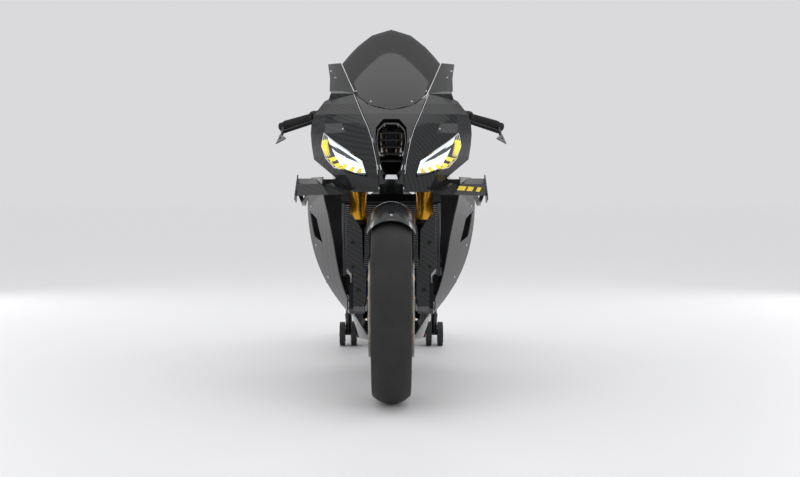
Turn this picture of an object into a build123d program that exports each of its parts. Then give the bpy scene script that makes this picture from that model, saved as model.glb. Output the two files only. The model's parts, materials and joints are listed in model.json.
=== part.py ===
"""A fully faired sport motorcycle on its rear paddock stand, as separate pieces in millimetres.

+Z is up and the bike faces -Y, so +X is its left side. The origin is on the floor at the middle of
the overall length. Places along the bike are mostly measured back from the front axle, by back().
"""
from build123d import *
import math
import os

os.makedirs("parts", exist_ok=True)

# Overall layout
overall_length = 2190
wheelbase = 1457
rake = 24
trail = 100
rear_lift = 20

# Wheels and tyres
front_tyre_r = 300
front_tyre_w = 120
rear_tyre_r = 326
rear_tyre_w = 200
rim_seat_r = 216
front_rim_w = 99
rear_rim_w = 162
rim_wall = 5
tyre_wall = 9
spoke_count = 5
hub_r = 33
front_axle_r = 12.5
front_axle_bore_r = 8
rear_axle_r = 14
rear_axle_bore_r = 9
front_disc_r = 160
front_disc_x = 66
disc_t = 5
rear_disc_r = 110
rear_disc_x = -92
sprocket_x = 114
sprocket_r = 92
sprocket_teeth = 44
drive_sprocket_r = 35

# Front fork and steering
fork_half_span = 105
upper_tube_r = 27
upper_tube_wall = 4.5
stanchion_r = 21.5
upper_tube_length = 420
fork_top_z = 932
stem_r = 15
stem_clearance = 0.05
bearing_gap = 1
clamp_t = 26
clip_ring_t = 28
clamp_spacing = 212

# Running clearances between pieces that move past each other
axle_clearance = 0.05
side_clearance = 2
panel_t = 3.5
panel_gap = 1.5

# Paddock stand
stand_wheel_r = 50
stand_wheel_w = 22
stand_half_span = 182
stand_wheel_gap = 26
stand_tube_r = 14
bobbin_r = 16
stand_axle_r = 6

front_axle_y = -overall_length / 2 + front_tyre_r
rear_axle_y = front_axle_y + wheelbase
front_axle_z = front_tyre_r
rear_axle_z = rear_tyre_r + rear_lift
sin_rake = math.sin(math.radians(rake))
cos_rake = math.cos(math.radians(rake))
fork_offset = front_tyre_r * sin_rake - trail * cos_rake
axle_along = trail * sin_rake + front_tyre_r * cos_rake
fork_top_along = axle_along + (fork_top_z - front_axle_z) / cos_rake
fork_bottom_along = fork_top_along - upper_tube_length

# The steering frame: its Z runs up the steering axis, its Y points back, its origin is on the floor
steer = Plane(
    origin=(0, front_axle_y - trail, 0), x_dir=(1, 0, 0), z_dir=(0, sin_rake, cos_rake)
).location

pieces = {}


def back(distance):
    """A place along the bike, measured back from the front axle."""
    return front_axle_y + distance


def on_fork(along, side=1):
    """The centre of a fork leg, at a height along the steering axis, in the steering frame."""
    return Vector(side * fork_half_span, -fork_offset, along)


def rod(start, end, radius):
    """A round bar between two points."""
    start, end = Vector(*start), Vector(*end)
    along = end - start
    return extrude(Plane(start, z_dir=along) * Circle(radius), along.length)


def tube(points, radius, bend, wall=0):
    """A round tube along straight runs joined by bends, hollow where it has a wall."""
    path = FilletPolyline(*points, radius=bend) if len(points) > 2 else Line(*points)
    section = Circle(radius) - Circle(radius - wall) if wall else Circle(radius)
    return sweep(Plane(path @ 0, z_dir=path % 0) * section, path)


def side_plate(outline, x_low, x_high):
    """A plate with an outline in the side view, given as (back from the front axle, height)."""
    points = [(0, back(y), z) for y, z in outline]
    face = make_face(Polyline(*points, close=True))
    return Pos(x_low, 0, 0) * extrude(face, x_high - x_low, dir=(1, 0, 0))


def front_plate(outline, y_low, y_high):
    """A plate with an outline in the front view, given as (x, height)."""
    points = [(x, 0, z) for x, z in outline]
    face = make_face(Polyline(*points, close=True))
    return Pos(0, back(y_low), 0) * extrude(face, y_high - y_low, dir=(0, 1, 0))


def other_side(shape):
    """The same piece on the other side of the bike."""
    return mirror(shape, about=Plane.YZ)


def both(shape):
    """The piece and its twin on the other side."""
    return [shape, other_side(shape)]


def solids_of(shape):
    """Every solid in a shape or in a list of shapes, leaving crumbs out."""
    shapes = shape if isinstance(shape, (list, tuple)) else [shape]
    return [s for item in shapes for s in item.solids() if s.volume > 50]


def keep(name, shape):
    """Records a finished piece under its node name."""
    pieces[name] = Compound(children=solids_of(shape))


def wheel_at(shape, y, z):
    """Puts a wheel that was turned about Z at the origin on its axle."""
    return Pos(0, y, z) * Rot(0, 90, 0) * shape


def ring_section(points):
    """A closed outline in (radius, across) that is turned about the axle."""
    return make_face(Polyline(*[(r, 0, x) for r, x in points], close=True))


def tyre(radius, width, rim_w):
    """A road tyre, open towards the rim, with a round crown."""
    half = width / 2
    bead = rim_w / 2 - rim_wall - 2
    crown_sag = radius - width * 0.20

    def half_profile(inset):
        side = half - inset
        return (
            Line((rim_seat_r, 0, -bead + inset), (rim_seat_r + 14, 0, -bead + inset - 2))
            + ThreePointArc(
                (rim_seat_r + 14, 0, -bead + inset - 2),
                (crown_sag - width * 0.16, 0, -side * 0.985),
                (crown_sag, 0, -side * 0.96),
            )
            + ThreePointArc(
                (crown_sag, 0, -side * 0.96),
                (radius - inset, 0, 0),
                (crown_sag, 0, side * 0.96),
            )
            + ThreePointArc(
                (crown_sag, 0, side * 0.96),
                (crown_sag - width * 0.16, 0, side * 0.985),
                (rim_seat_r + 14, 0, bead - inset + 2),
            )
            + Line((rim_seat_r + 14, 0, bead - inset + 2), (rim_seat_r, 0, bead - inset))
        )

    def closed(inset):
        profile = half_profile(inset)
        return make_face(profile + Line((rim_seat_r, 0, bead - inset), (rim_seat_r, 0, -bead + inset)))

    return revolve(closed(0), Axis.Z) - revolve(closed(tyre_wall), Axis.Z)


def rim(width, hub_half, axle_r, y_spread):
    """A light wheel: a drop-centre barrel, a hub with its bore, and forked spokes."""
    half = width / 2
    lip = rim_seat_r + 9
    well = rim_seat_r - 22
    barrel = revolve(
        ring_section(
            [
                (lip, -half),
                (lip, -half + rim_wall),
                (rim_seat_r, -half + rim_wall + 2),
                (rim_seat_r, -half + 22),
                (well, -half + 34),
                (well, half - 34),
                (rim_seat_r, half - 22),
                (rim_seat_r, half - rim_wall - 2),
                (lip, half - rim_wall),
                (lip, half),
                (rim_seat_r - rim_wall - 2, half),
                (rim_seat_r - rim_wall - 2, half - 18),
                (well - rim_wall, half - 36),
                (well - rim_wall, -half + 36),
                (rim_seat_r - rim_wall - 2, -half + 18),
                (rim_seat_r - rim_wall - 2, -half),
            ]
        ),
        Axis.Z,
    )
    hub = Cylinder(hub_r, 2 * hub_half)
    outer = well - 2
    spoke = extrude(
        Plane.XY
        * make_face(
            Polyline(
                (0, -17),
                (outer * 0.42, -11),
                (outer, -y_spread - 9),
                (outer, -y_spread + 9),
                (outer * 0.56, 0),
                (outer, y_spread - 9),
                (outer, y_spread + 9),
                (outer * 0.42, 11),
                (0, 17),
                close=True,
            )
        ),
        15,
        both=True,
    )
    wheel = barrel + hub
    for i in range(spoke_count):
        wheel = wheel + Rot(0, 0, 360 / spoke_count * i + 90 / spoke_count) * spoke
    return wheel - Cylinder(axle_r + axle_clearance, 4 * hub_half)


def disc(radius, inner, carrier, hole_count):
    """A brake disc: a drilled ring on a spoked carrier."""
    ring = Cylinder(radius, disc_t) - Cylinder(inner, disc_t)
    holes = PolarLocations((radius + inner) / 2, hole_count) * Cylinder(4, disc_t * 2)
    arms = [
        Rot(0, 0, 360 / 6 * i) * Pos((carrier + inner) / 2, 0, 0) * Box(inner - carrier + 16, 13, disc_t)
        for i in range(6)
    ]
    plate = ring - holes + (Cylinder(carrier, disc_t) - Cylinder(hub_r + 3, disc_t))
    for arm in arms:
        plate = plate + arm
    return plate - Cylinder(hub_r + 3, disc_t * 2)


def front_wheel():
    """The front wheel with its tyre and two discs, which turn together."""
    hub_half = front_disc_x + disc_t / 2 + 4
    keep("front_tyre", wheel_at(tyre(front_tyre_r, front_tyre_w, front_rim_w), front_axle_y,
        front_axle_z))
    keep("front_rim", wheel_at(rim(front_rim_w, hub_half, front_axle_r, 44), front_axle_y, front_axle_z))
    plate = wheel_at(disc(front_disc_r, 126, 62, 40), front_axle_y, front_axle_z)
    ring_bore = wheel_at(Cylinder(hub_r, 400), front_axle_y, front_axle_z)
    left = Pos(front_disc_x, 0, 0) * plate
    spacer = Pos(front_disc_x - 10, 0, 0) * wheel_at(
        Cylinder(hub_r + 16, 20) - Cylinder(hub_r, 20), front_axle_y, front_axle_z
    )
    flanged = left + (spacer - ring_bore)
    keep("front_discs", both(flanged))


def rear_wheel():
    """The rear wheel with its tyre, disc and sprocket, which turn together."""
    hub_half = 84
    keep("rear_tyre", wheel_at(tyre(rear_tyre_r, rear_tyre_w, rear_rim_w), rear_axle_y, rear_axle_z))
    keep("rear_rim", wheel_at(rim(rear_rim_w, hub_half, rear_axle_r, 46), rear_axle_y, rear_axle_z))
    plate = disc(rear_disc_r, 80, 50, 30)
    keep(
        "rear_disc",
        wheel_at(plate, rear_axle_y, rear_axle_z).moved(Location((rear_disc_x, 0, 0)))
        + Pos(rear_disc_x + 12, 0, 0)
        * wheel_at(Cylinder(46, 24) - Cylinder(hub_r, 24), rear_axle_y, rear_axle_z),
    )
    blank = Cylinder(sprocket_r, 7) - Cylinder(40, 8)
    blank = blank - PolarLocations(64, 5) * Cylinder(14, 10)
    tooth = Pos(sprocket_r, 0, 0) * Box(8, 5, 6)
    toothed = blank
    for i in range(sprocket_teeth):
        toothed = toothed + Rot(0, 0, 360 / sprocket_teeth * i) * tooth
    carrier = Pos(0, 0, -10) * (Cylinder(48, 14) - Cylinder(hub_r, 14))
    whole = toothed + (Pos(0, 0, -4) * (Cylinder(52, 6) - Cylinder(hub_r, 6))) + carrier
    keep("rear_sprocket", Pos(sprocket_x, 0, 0) * wheel_at(whole, rear_axle_y, rear_axle_z))


def fork():
    """The upside-down fork: gold upper tubes, dark lower legs with axle feet, and the axle."""
    uppers, lowers = [], []
    for side in (1, -1):
        low = on_fork(fork_bottom_along, side)
        outer = Cylinder(upper_tube_r, upper_tube_length) - Cylinder(
            upper_tube_r - upper_tube_wall, upper_tube_length
        )
        cap = Pos(0, 0, upper_tube_length / 2 + 3) * Cylinder(upper_tube_r - 1, 14)
        collar = Pos(0, 0, -upper_tube_length / 2 + 14) * (
            Cylinder(upper_tube_r + 2.5, 28) - Cylinder(upper_tube_r - upper_tube_wall, 28)
        )
        middle = Pos(low.X, low.Y, low.Z + upper_tube_length / 2)
        uppers.append(middle * (outer + cap + collar))
        leg = Pos(low.X, low.Y, (axle_along + fork_bottom_along + 90) / 2) * Cylinder(
            stanchion_r, fork_bottom_along + 90 - axle_along
        )
        foot = Pos(side * (fork_half_span), -fork_offset, axle_along + 22) * Box(
            2 * stanchion_r + 4, 2 * stanchion_r + 8, 84
        )
        bore = Pos(low.X, low.Y, axle_along) * Rot(0, 90, 0) * Cylinder(front_axle_r, 90)
        lug = side_plate([(24, 300), (34, 400), (106, 398), (106, 322), (40, 292)], 82, 112)
        lug = steer.inverse() * (lug if side > 0 else other_side(lug))
        lowers.append(leg + foot + lug - bore)
    keep("fork_upper_tubes", [steer * u for u in uppers])
    keep("fork_lower_legs", [steer * low for low in lowers])
    hub_half = front_disc_x + disc_t / 2 + 4
    inner_face = fork_half_span - stanchion_r - 2
    bar = Rot(0, 90, 0) * Cylinder(front_axle_r, 2 * (fork_half_span + stanchion_r + 6))
    spacer = Rot(0, 90, 0) * (
        Cylinder(front_axle_r + 6, inner_face - hub_half - side_clearance)
        - Cylinder(front_axle_r, inner_face)
    )
    middle_x = (inner_face + hub_half + side_clearance) / 2
    axle = bar + Pos(middle_x, 0, 0) * spacer + Pos(-middle_x, 0, 0) * spacer
    axle = axle - Rot(0, 90, 0) * Cylinder(front_axle_bore_r, 400)
    keep("front_axle", Pos(0, front_axle_y, front_axle_z) * axle)


def clamp_plate(along, thickness, reach):
    """A fork clamp seen along the steering axis, bored for both tubes."""
    outline = make_face(
        Polyline(
            (-fork_half_span - 36, -fork_offset - 22),
            (-fork_half_span + 20, -fork_offset - 32),
            (0, -reach),
            (fork_half_span - 20, -fork_offset - 32),
            (fork_half_span + 36, -fork_offset - 22),
            (fork_half_span + 36, -fork_offset + 24),
            (fork_half_span - 30, -fork_offset + 38),
            (30, 28),
            (-30, 28),
            (-fork_half_span + 30, -fork_offset + 38),
            (-fork_half_span - 36, -fork_offset + 24),
            close=True,
        )
    )
    plate = Pos(0, 0, along) * extrude(outline, thickness)
    plate = fillet(plate.edges().filter_by(Axis.Z), 8)
    for side in (1, -1):
        plate = plate - Pos(side * fork_half_span, -fork_offset, along + thickness / 2) * Cylinder(
            upper_tube_r, thickness * 2
        )
    return plate


ring_along = fork_top_along - clip_ring_t - 4
upper_clamp_along = ring_along - clamp_t - 1
lower_clamp_along = upper_clamp_along - clamp_spacing
head_low = lower_clamp_along + clamp_t + bearing_gap
head_high = upper_clamp_along - bearing_gap


def clamps():
    """The two clamps that join the fork legs, and the stem on which they turn."""
    upper = clamp_plate(upper_clamp_along, clamp_t, 34)
    upper = upper + Pos(0, 0, upper_clamp_along + clamp_t + 5) * Cylinder(19, 10)
    lower = clamp_plate(lower_clamp_along, clamp_t, 44)
    stem = Pos(0, 0, (lower_clamp_along + upper_clamp_along) / 2) * Cylinder(
        stem_r, upper_clamp_along - lower_clamp_along
    )
    keep("fork_clamps", steer * (lower + stem + upper))


# Handlebar line on the left side: where the bar leaves its ring, and its outer end
bar_root = (132, 268, 920)
bar_end = (362, 412, 869)
bar_r = 11
grip_r = 17
grip_share = 0.46


def along_bar(share, forward=0, up=0):
    """A point on the left handlebar, as a share of its length, moved forward or up."""
    point = [bar_root[i] + (bar_end[i] - bar_root[i]) * share for i in range(3)]
    return (point[0], back(point[1] - forward), point[2] + up)


def controls():
    """Clip-on bars with grips, levers, lever guards and the brake fluid pot."""
    ring = Pos(fork_half_span, -fork_offset, ring_along + clip_ring_t / 2) * (
        Cylinder(upper_tube_r + 9, clip_ring_t) - Cylinder(upper_tube_r, clip_ring_t * 2)
    )
    ring = steer * ring
    root = along_bar(0)
    neck = rod((root[0] - 16, root[1] - 3, root[2] - 3), along_bar(0.1), bar_r + 6)
    clear = steer * Pos(fork_half_span, -fork_offset, fork_top_along) * Cylinder(upper_tube_r, 900)
    under = steer * Pos(0, 0, ring_along - 150) * Box(900, 900, 299)
    bar = ring + (neck - clear - under) + (rod(along_bar(0), along_bar(0.98), bar_r) - clear - under)
    keep("clip_on_bars", both(bar))
    grip = rod(along_bar(1 - grip_share), along_bar(0.985), grip_r)
    flange = rod(along_bar(1 - grip_share - 0.02), along_bar(1 - grip_share + 0.015), grip_r + 7)
    end = rod(along_bar(0.985), along_bar(1.05), grip_r - 2)
    hollow = rod(along_bar(0.3), along_bar(0.98), bar_r)
    keep("grips", both(grip + flange + end - hollow))
    perch = rod(along_bar(0.28), along_bar(0.42), bar_r + 7) - rod(along_bar(0.1), along_bar(0.9), bar_r)
    pivot = along_bar(0.34, forward=40, up=-8)
    arm = rod(along_bar(0.35, forward=12), pivot, 9) - rod(along_bar(0.1), along_bar(0.9), bar_r)
    blade = tube([pivot, along_bar(0.62, 62, -18), along_bar(0.98, 52, -22)], 6, 40)
    cylinder = rod(along_bar(0.30, 30, 4), along_bar(0.12, 36, 6), 11)
    keep("levers", both(perch + arm + blade + cylinder))
    stalk = rod(along_bar(1.0, forward=grip_r - 3, up=-4), along_bar(1.023, 76, -44), 5)
    blade_points = [(1.04, 58, -30), (1.10, 70, -58), (0.93, 112, -52), (0.88, 106, -30)]
    outline = [Vector(*along_bar(*p)) for p in blade_points]
    flat = make_face(Polyline(*[outline[i] for i in (0, 1, 2)], close=True))
    blade = extrude(flat, 4, dir=(0, -0.3, 1))
    keep("lever_guards", both(stalk + blade - end - grip))
    pot_x, pot_y, pot_z = -114, 326, 962
    pot = Pos(pot_x, back(pot_y), pot_z) * Cylinder(17, 30)
    stay = rod((pot_x, back(pot_y), pot_z - 14), (-150, back(292), 925), 4)
    bar = other_side(rod(along_bar(-0.1), along_bar(0.5), bar_r + 6.5))
    keep("brake_fluid_pot", pot + stay - bar)


# Front mudguard and the carbon brake ducts
guard_inner_r = front_tyre_r + 14
guard_half_w = 72


def front_mudguard():
    """A wrapped mudguard over the tyre, from the fork forward and back, with side cheeks."""
    profile = (
        Line((guard_inner_r - 46, 0, -guard_half_w), (guard_inner_r - 46, 0, -guard_half_w + panel_t))
        + ThreePointArc(
            (guard_inner_r - 46, 0, -guard_half_w + panel_t),
            (guard_inner_r, 0, 0),
            (guard_inner_r - 46, 0, guard_half_w - panel_t),
        )
        + Line((guard_inner_r - 46, 0, guard_half_w - panel_t), (guard_inner_r - 46, 0, guard_half_w))
        + ThreePointArc(
            (guard_inner_r - 46, 0, guard_half_w),
            (guard_inner_r + panel_t, 0, 0),
            (guard_inner_r - 46, 0, -guard_half_w),
        )
    )
    # Turned from 50 degrees in front of the top to 62 degrees behind it
    shell = revolve(make_face(profile), Axis.Z, 138)
    shell = Rot(0, 0, 22) * shell
    shell = Pos(0, front_axle_y, front_axle_z) * Rot(0, 90, 0) * Rot(0, 0, 90) * shell
    return shell


def fork_plate(outline, near, far):
    """A plate seen along the fork, given as (x, along), between two distances in front of the legs."""
    points = [(x, -fork_offset - far, along) for x, along in outline]
    face = make_face(Polyline(*points, close=True))
    return steer * extrude(face, far - near, dir=(0, 1, 0))


duct_upper = [(134, 592), (121, 588), (90, 536), (86, 412), (121, 392), (136, 410)]
duct_lower = [(76, 408), (116, 408), (114, 284), (82, 284), (76, 312)]


def brake_ducts():
    """Carbon ducts in front of each fork leg, which lead air to the calipers."""
    clear = upper_tube_r + 4
    return [fork_plate(duct_upper, clear, clear + 34), fork_plate(duct_lower, clear, clear + 46)]


# The whole front fairing is cut from one outer form. Each row is one level of it:
# height, nose (back), inner edge (x, back), shoulder (x, back), widest (x, back), rear (x, back)
cowl_rows = [
    (640, 8, 36, 12, 112, 60, 226, 170, 262, 640),
    (700, -22, 37, -16, 140, 48, 240, 190, 262, 640),
    (760, -14, 45, -4, 178, 78, 250, 200, 256, 620),
    (830, 22, 64, 36, 206, 98, 256, 162, 252, 600),
    (890, 68, 88, 86, 204, 108, 244, 142, 250, 580),
    (960, 146, 116, 172, 180, 188, 198, 200, 220, 520),
    (1075, 290, 166, 346, 190, 364, 212, 384, 208, 520),
]


def with_levels_between(rows):
    """Adds a level half way between each two rows, on a smooth line through its neighbours."""
    slopes = []
    for i in range(len(rows)):
        low, high = rows[max(i - 1, 0)], rows[min(i + 1, len(rows) - 1)]
        slopes.append([(b - a) / (high[0] - low[0]) for a, b in zip(low, high)])
    finer = [rows[0]]
    for i in range(1, len(rows)):
        low, high = rows[i - 1], rows[i]
        rise = (high[0] - low[0]) / 8
        bend = [(a - b) * rise for a, b in zip(slopes[i - 1], slopes[i])]
        finer += [[(a + b) / 2 + c for a, b, c in zip(low, high, bend)], high]
    return finer


cowl_levels = with_levels_between(cowl_rows)


def level_points(row, inset):
    """The points of one level, at a depth inside the outer form."""
    z, nose, inner_x, inner, shoulder_x, shoulder, widest_x, widest, rear_x, rear = row
    return [
        (0, back(nose + inset), z),
        (inner_x, back(inner + inset), z),
        (shoulder_x - inset * 0.8, back(shoulder + inset * 0.9), z),
        (widest_x - inset, back(widest + inset * 0.4), z),
        (rear_x - inset, back(rear), z),
    ]


def cowl_sheet(near, far):
    """A sheet that follows the left half of the outer form, between two depths inside it."""
    faces = []
    for row in cowl_levels:
        points = level_points(row, near) + level_points(row, far)[::-1]
        faces.append(make_face(Polyline(*points, close=True)))
    return loft(faces, ruled=True)


def cowl_form():
    """The left half of the outer form, solid."""
    faces = []
    for row in cowl_levels:
        points = level_points(row, 0)
        faces.append(make_face(Polyline(*points, (0, *points[-1][1:]), close=True)))
    return loft(faces, ruled=True)


# Lines in the front view, as (x, height)
seam_z = 694
inner_line = [(37, 640), (37, 690), (42, 739), (56, 806), (69, 846), (88, 889), (116, 961), (166, 1075)]
screen_split = [(0, 900), (70, 918), (113, 954)]
lamp_outline = [
    (212, 832), (176, 803), (135, 775), (88, 745), (74, 692), (112, 700), (146, 712), (180, 722),
    (208, 752), (222, 792), (219, 806),
]
intake_outline = [
    (-25, 872), (25, 872), (47, 845), (49, 808), (38, 740), (24, 684), (-24, 684), (-38, 740),
    (-49, 808), (-47, 845),
]

# What stays of the side cowl in the side view, as (back, height): it leaves room for the hands
cowl_side_outline = [
    (-60, 646), (165, 646), (165, seam_z + panel_gap), (600, seam_z + panel_gap), (545, 796), (173, 830),
    (173, 958), (198, 967), (250, 976), (290, 992), (430, 1046), (430, 1090), (-60, 1090),
]
cowl_lower_edge = [(400, 1090), (400, 752), (250, 752), (118, 646), (37 + panel_gap, 646)]
lens_gap = 2.5


def lamp_prism(shrink):
    """The lamp's outline as a prism along the bike, made smaller all round."""
    face = make_face(Polyline(*[(x, 0, z) for x, z in lamp_outline], close=True))
    if shrink:
        face = offset(face, -shrink, kind=Kind.INTERSECTION)
    return Pos(0, back(-100), 0) * extrude(face, 360, dir=(0, 1, 0))


def cowls():
    """The nose panel, both side cowls and the openings for lamps and air."""
    sheet = cowl_sheet(0, panel_t)
    edge = [(x + panel_gap, z) for x, z in inner_line[1:]]
    seen = front_plate([*edge, (edge[-1][0] + 1, 1090), *cowl_lower_edge], -100, 700)
    side = (sheet & side_plate(cowl_side_outline, -20, 400)) & seen
    keep("side_cowls", both(side - lamp_prism(0)))
    nose = front_plate([(0, 640), *inner_line[:-2], *screen_split[::-1]], -100, 400)
    half = (sheet & nose) - front_plate(intake_outline, -100, 300)
    keep("nose_panel", half + other_side(half))
    keep("headlight_lenses", both(cowl_sheet(0.2, 3.2) & lamp_prism(lens_gap)))
    keep("headlight_units", both(cowl_sheet(18, 34) & lamp_prism(6)))


# The screen: height, centre (back), half width and where that edge is (back)
screen_levels = [
    (895, 74, 110, 112),
    (960, 146, 132, 192),
    (1075, 290, 176, 356),
    (1140, 374, 150, 420),
    (1206, 462, 96, 484),
]
screen_outline = [(0, 902), (66, 919), (112, 956), (138, 1012), (163, 1071), (142, 1100),
    (113, 1135), (66, 1177), (0, 1200)]


def windscreen():
    """The clear screen, bowed forward, cut to its outline as it looks from the front."""
    faces = []
    for z, centre, half, edge in screen_levels:
        outer = ThreePointArc((-half, back(edge), z), (0, back(centre), z), (half, back(edge), z))
        inner = ThreePointArc((half, back(edge) + 3, z), (0, back(centre) + 3, z),
            (-half, back(edge) + 3, z))
        ends = Line(outer @ 1, inner @ 0) + Line(inner @ 1, outer @ 0)
        faces.append(make_face(outer + inner + ends))
    sheet = loft(faces)
    outline = screen_outline + [(-x, z) for x, z in screen_outline[-2:0:-1]]
    keep("windscreen", sheet & front_plate(outline, -100, 900))


# The side fairing: height, front edge (x, back), widest (x, back), middle (x, back), rear (x, back)
side_levels = [
    (226, (118, 338), (140, 430), (142, 620), (128, 900)),
    (300, (150, 318), (196, 420), (198, 620), (176, 900)),
    (400, (176, 262), (247, 400), (248, 600), (212, 900)),
    (500, (190, 202), (271, 360), (272, 580), (232, 880)),
    (580, (204, 160), (277, 320), (278, 560), (240, 860)),
    (700, (216, 118), (258, 250), (266, 520), (246, 820)),
]
side_outline = [
    (118, seam_z), (560, seam_z), (700, 640), (640, 560), (560, 470), (640, 440), (740, 420),
    (780, 330), (790, 232), (338, 232), (318, 300), (262, 400), (202, 500), (160, 580),
]


# What the side fairings enclose, for cutting what meets them from outside
side_form = loft(
    [
        make_face(Polyline(*[(x + 0.3, back(y), z) for x, y in points], (0, back(points[-1][1]), z),
            (0, back(points[0][1]), z), close=True))
        for z, *points in side_levels
    ]
)


def side_fairings():
    """The side fairings: one curved sheet each, cut to the outline seen from the side."""
    faces = []
    for z, *points in side_levels:
        outer = [(x, back(y), z) for x, y in points]
        inner = [(x - panel_t, back(y), z) for x, y in reversed(points)]
        faces.append(make_face(Polyline(*outer, *inner, close=True)))
    sheet = loft(faces)
    slot = side_plate([(262, 560), (300, 585), (330, 500), (290, 480)], 150, 300)
    vent = side_plate([(400, 600), (520, 620), (500, 560), (390, 545)], 150, 300)
    panel = (sheet & side_plate(side_outline, 50, 300)) - slot - vent
    keep("side_fairings", both(panel))


def belly_pan():
    """The belly pan, a trough under the engine that carries on from the side fairings."""
    rows = [
        (350, 118, 226, 84, 170, 30, 150),
        (500, 140, 226, 108, 140, 40, 118),
        (760, 138, 226, 112, 138, 46, 118),
        (870, 126, 226, 100, 160, 40, 140),
    ]
    faces = []
    for y, top_x, top_z, side_x, side_z, keel_x, keel_z in rows:
        right = [(top_x, top_z), (side_x, side_z), (keel_x, keel_z)]
        inner = [(top_x - panel_t, top_z), (side_x - 3, side_z + 3), (keel_x, keel_z + panel_t)]
        ring = right + [(-x, z) for x, z in reversed(right)]
        ring += [(-x, z) for x, z in inner] + list(reversed(inner))
        faces.append(make_face(Polyline(*[(x, back(y), z) for x, z in ring], close=True)))
    keep("belly_pan", loft(faces))


def winglets():
    """Two carbon winglets with end plates, which rise towards the back."""
    root, tip = 128, 304
    def section(x, front, low, rear, high):
        return make_face(
            Polyline(
                (x, back(front), low), (x, back((front + rear) / 2), (low + high) / 2 + 9),
                (x, back(rear), high), (x, back(rear), high - 3),
                (x, back((front + rear) / 2), (low + high) / 2 - 3), close=True,
            )
        )
    wing = loft([section(root, 40, 640, 160, 690), section(tip - 4, 110, 634, 215, 690)])
    clear = Pos(0, 0, 700) * Cylinder(158, 400)
    wing = wing - steer * clear - cowl_form()
    end = side_plate([(96, 622), (110, 640), (218, 702), (226, 694), (180, 640),
        (150, 612)], tip - 4, tip)
    wing = wing + end - side_form
    keep("winglets", both(wing))


# What lies ahead of the nose in the side view
nose_side_line = [
    (-200, 600), (16, 640), (-14, 700), (-6, 760), (30, 830), (68, 885), (68, 1000), (-200, 1000),
]

# The air duct: place (back), and its size as a share of the nose opening, outside and inside
duct_rows = [(-30, 0.95, 0.88, 778), (45, 0.86, 0.80, 780), (110, 0.46, 0.38, 800)]


def duct_form(column):
    """The duct's outside or inside, as one loft through its rows."""
    faces = []
    for row in duct_rows:
        y, share, middle = row[0], row[column], row[3]
        points = [(x * share, back(y), (z - 778) * share + middle) for x, z in intake_outline]
        faces.append(make_face(Polyline(*points, close=True)))
    return loft(faces)


def intake():
    """The air duct behind the nose opening."""
    walls = duct_form(1) - duct_form(2)
    keep("intake_duct", walls - side_plate(nose_side_line, -60, 60))


def dash():
    """The instrument behind the screen, and the stay that carries it, the duct and the nose."""
    body = Pos(0, back(302), 984) * Rot(-38, 0, 0) * Box(150, 62, 16)
    keep("dash_panel", body)
    arm = side_plate([(226, 766), (226, 804), (178, 826), (178, 892), (290, 955), (284, 966),
        (160, 906), (160, 846), (96, 862), (96, 856), (150, 838), (150, 786)], -16, 16)
    head = steer * Pos(0, 0, (head_low + head_high) / 2) * Cylinder(29.2, 400)
    keep("front_stay", arm - head - body)


def frame():
    """The twin-spar frame: head tube, two box spars, pivot plates and cross members."""
    head = Pos(0, 0, (head_low + head_high) / 2) * (
        Cylinder(29, head_high - head_low) - Cylinder(stem_r + stem_clearance, head_high - head_low)
    )
    rows = [
        (20, 262, 806, 30, 80),
        (64, 348, 788, 32, 92),
        (142, 476, 712, 34, 96),
        (162, 610, 620, 34, 90),
        (139, 830, 480, 24, 90),
    ]
    faces = []
    for x, y, z, wide, tall in rows:
        faces.append(Plane(origin=(x, back(y), z), z_dir=(0.25, 1, -0.55)) * Rectangle(wide, tall))
    spar = loft(faces)
    plate = side_plate([(800, 500), (872, 480), (880, 380), (860, 298), (800, 298), (786, 420)], 127, 151)
    whole = (steer * head) + spar + other_side(spar) + plate + other_side(plate)
    whole = whole + Pos(0, back(826), 312) * Box(270, 34, 26) + Pos(0, back(790), 520) * Box(270, 40, 40)
    whole = whole - steer * Pos(0, 0, (head_low + head_high) / 2) * Cylinder(stem_r + stem_clearance, 900)
    keep("main_frame", whole)


def engine():
    """The engine as one block: crankcase and sloping cylinders, with two round covers."""
    case = side_plate([(440, 250), (470, 210), (700, 205), (776, 280), (776, 430), (700, 480),
        (520, 470), (430, 400)], -98, 98)
    bank = side_plate([(440, 400), (610, 470), (520, 640), (396, 570), (400, 470)], -118, 118)
    cover = Pos(98, back(520), 330) * Rot(0, 90, 0) * Cylinder(62, 34, align=(Align.CENTER,
        Align.CENTER, Align.MIN))
    other = Pos(-98, back(620), 330) * Rot(0, -90, 0) * Cylinder(74, 34, align=(Align.CENTER,
        Align.CENTER, Align.MIN))
    keep("engine", case + bank + cover + other)


def radiators():
    """The curved radiator with the oil cooler under it."""
    core = Pos(0, back(352), 490) * Rot(8, 0, 0) * Box(330, 30, 250)
    cooler = Pos(0, back(372), 300) * Rot(8, 0, 0) * Box(200, 26, 90)
    keep("radiators", [core, cooler])


# The tank: back, lowest height, half width there, middle height, half width there, top, half width there
tank_rows = [
    (402, 800, 70, 860, 120, 930, 60),
    (470, 770, 110, 860, 160, 982, 96),
    (590, 750, 120, 850, 176, 994, 110),
    (710, 745, 116, 820, 150, 970, 92),
    (800, 760, 100, 810, 116, 915, 66),
    (862, 785, 80, 820, 90, 862, 50),
]


def tank():
    """The fuel tank and its filler cap."""
    faces = []
    for y, z0, x0, z1, x1, z2, x2 in tank_rows:
        outline = [(x0, z0), (x1, z1), (x2, z2), (-x2, z2), (-x1, z1), (-x0, z0)]
        face = make_face(Polyline(*[(x, back(y), z) for x, z in outline], close=True))
        faces.append(fillet(face.vertices(), 22))
    cap = Pos(0, back(560), 992) * Cylinder(36, 20)
    keep("fuel_tank", loft(faces) - cap)
    keep("tank_cap", cap)


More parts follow.
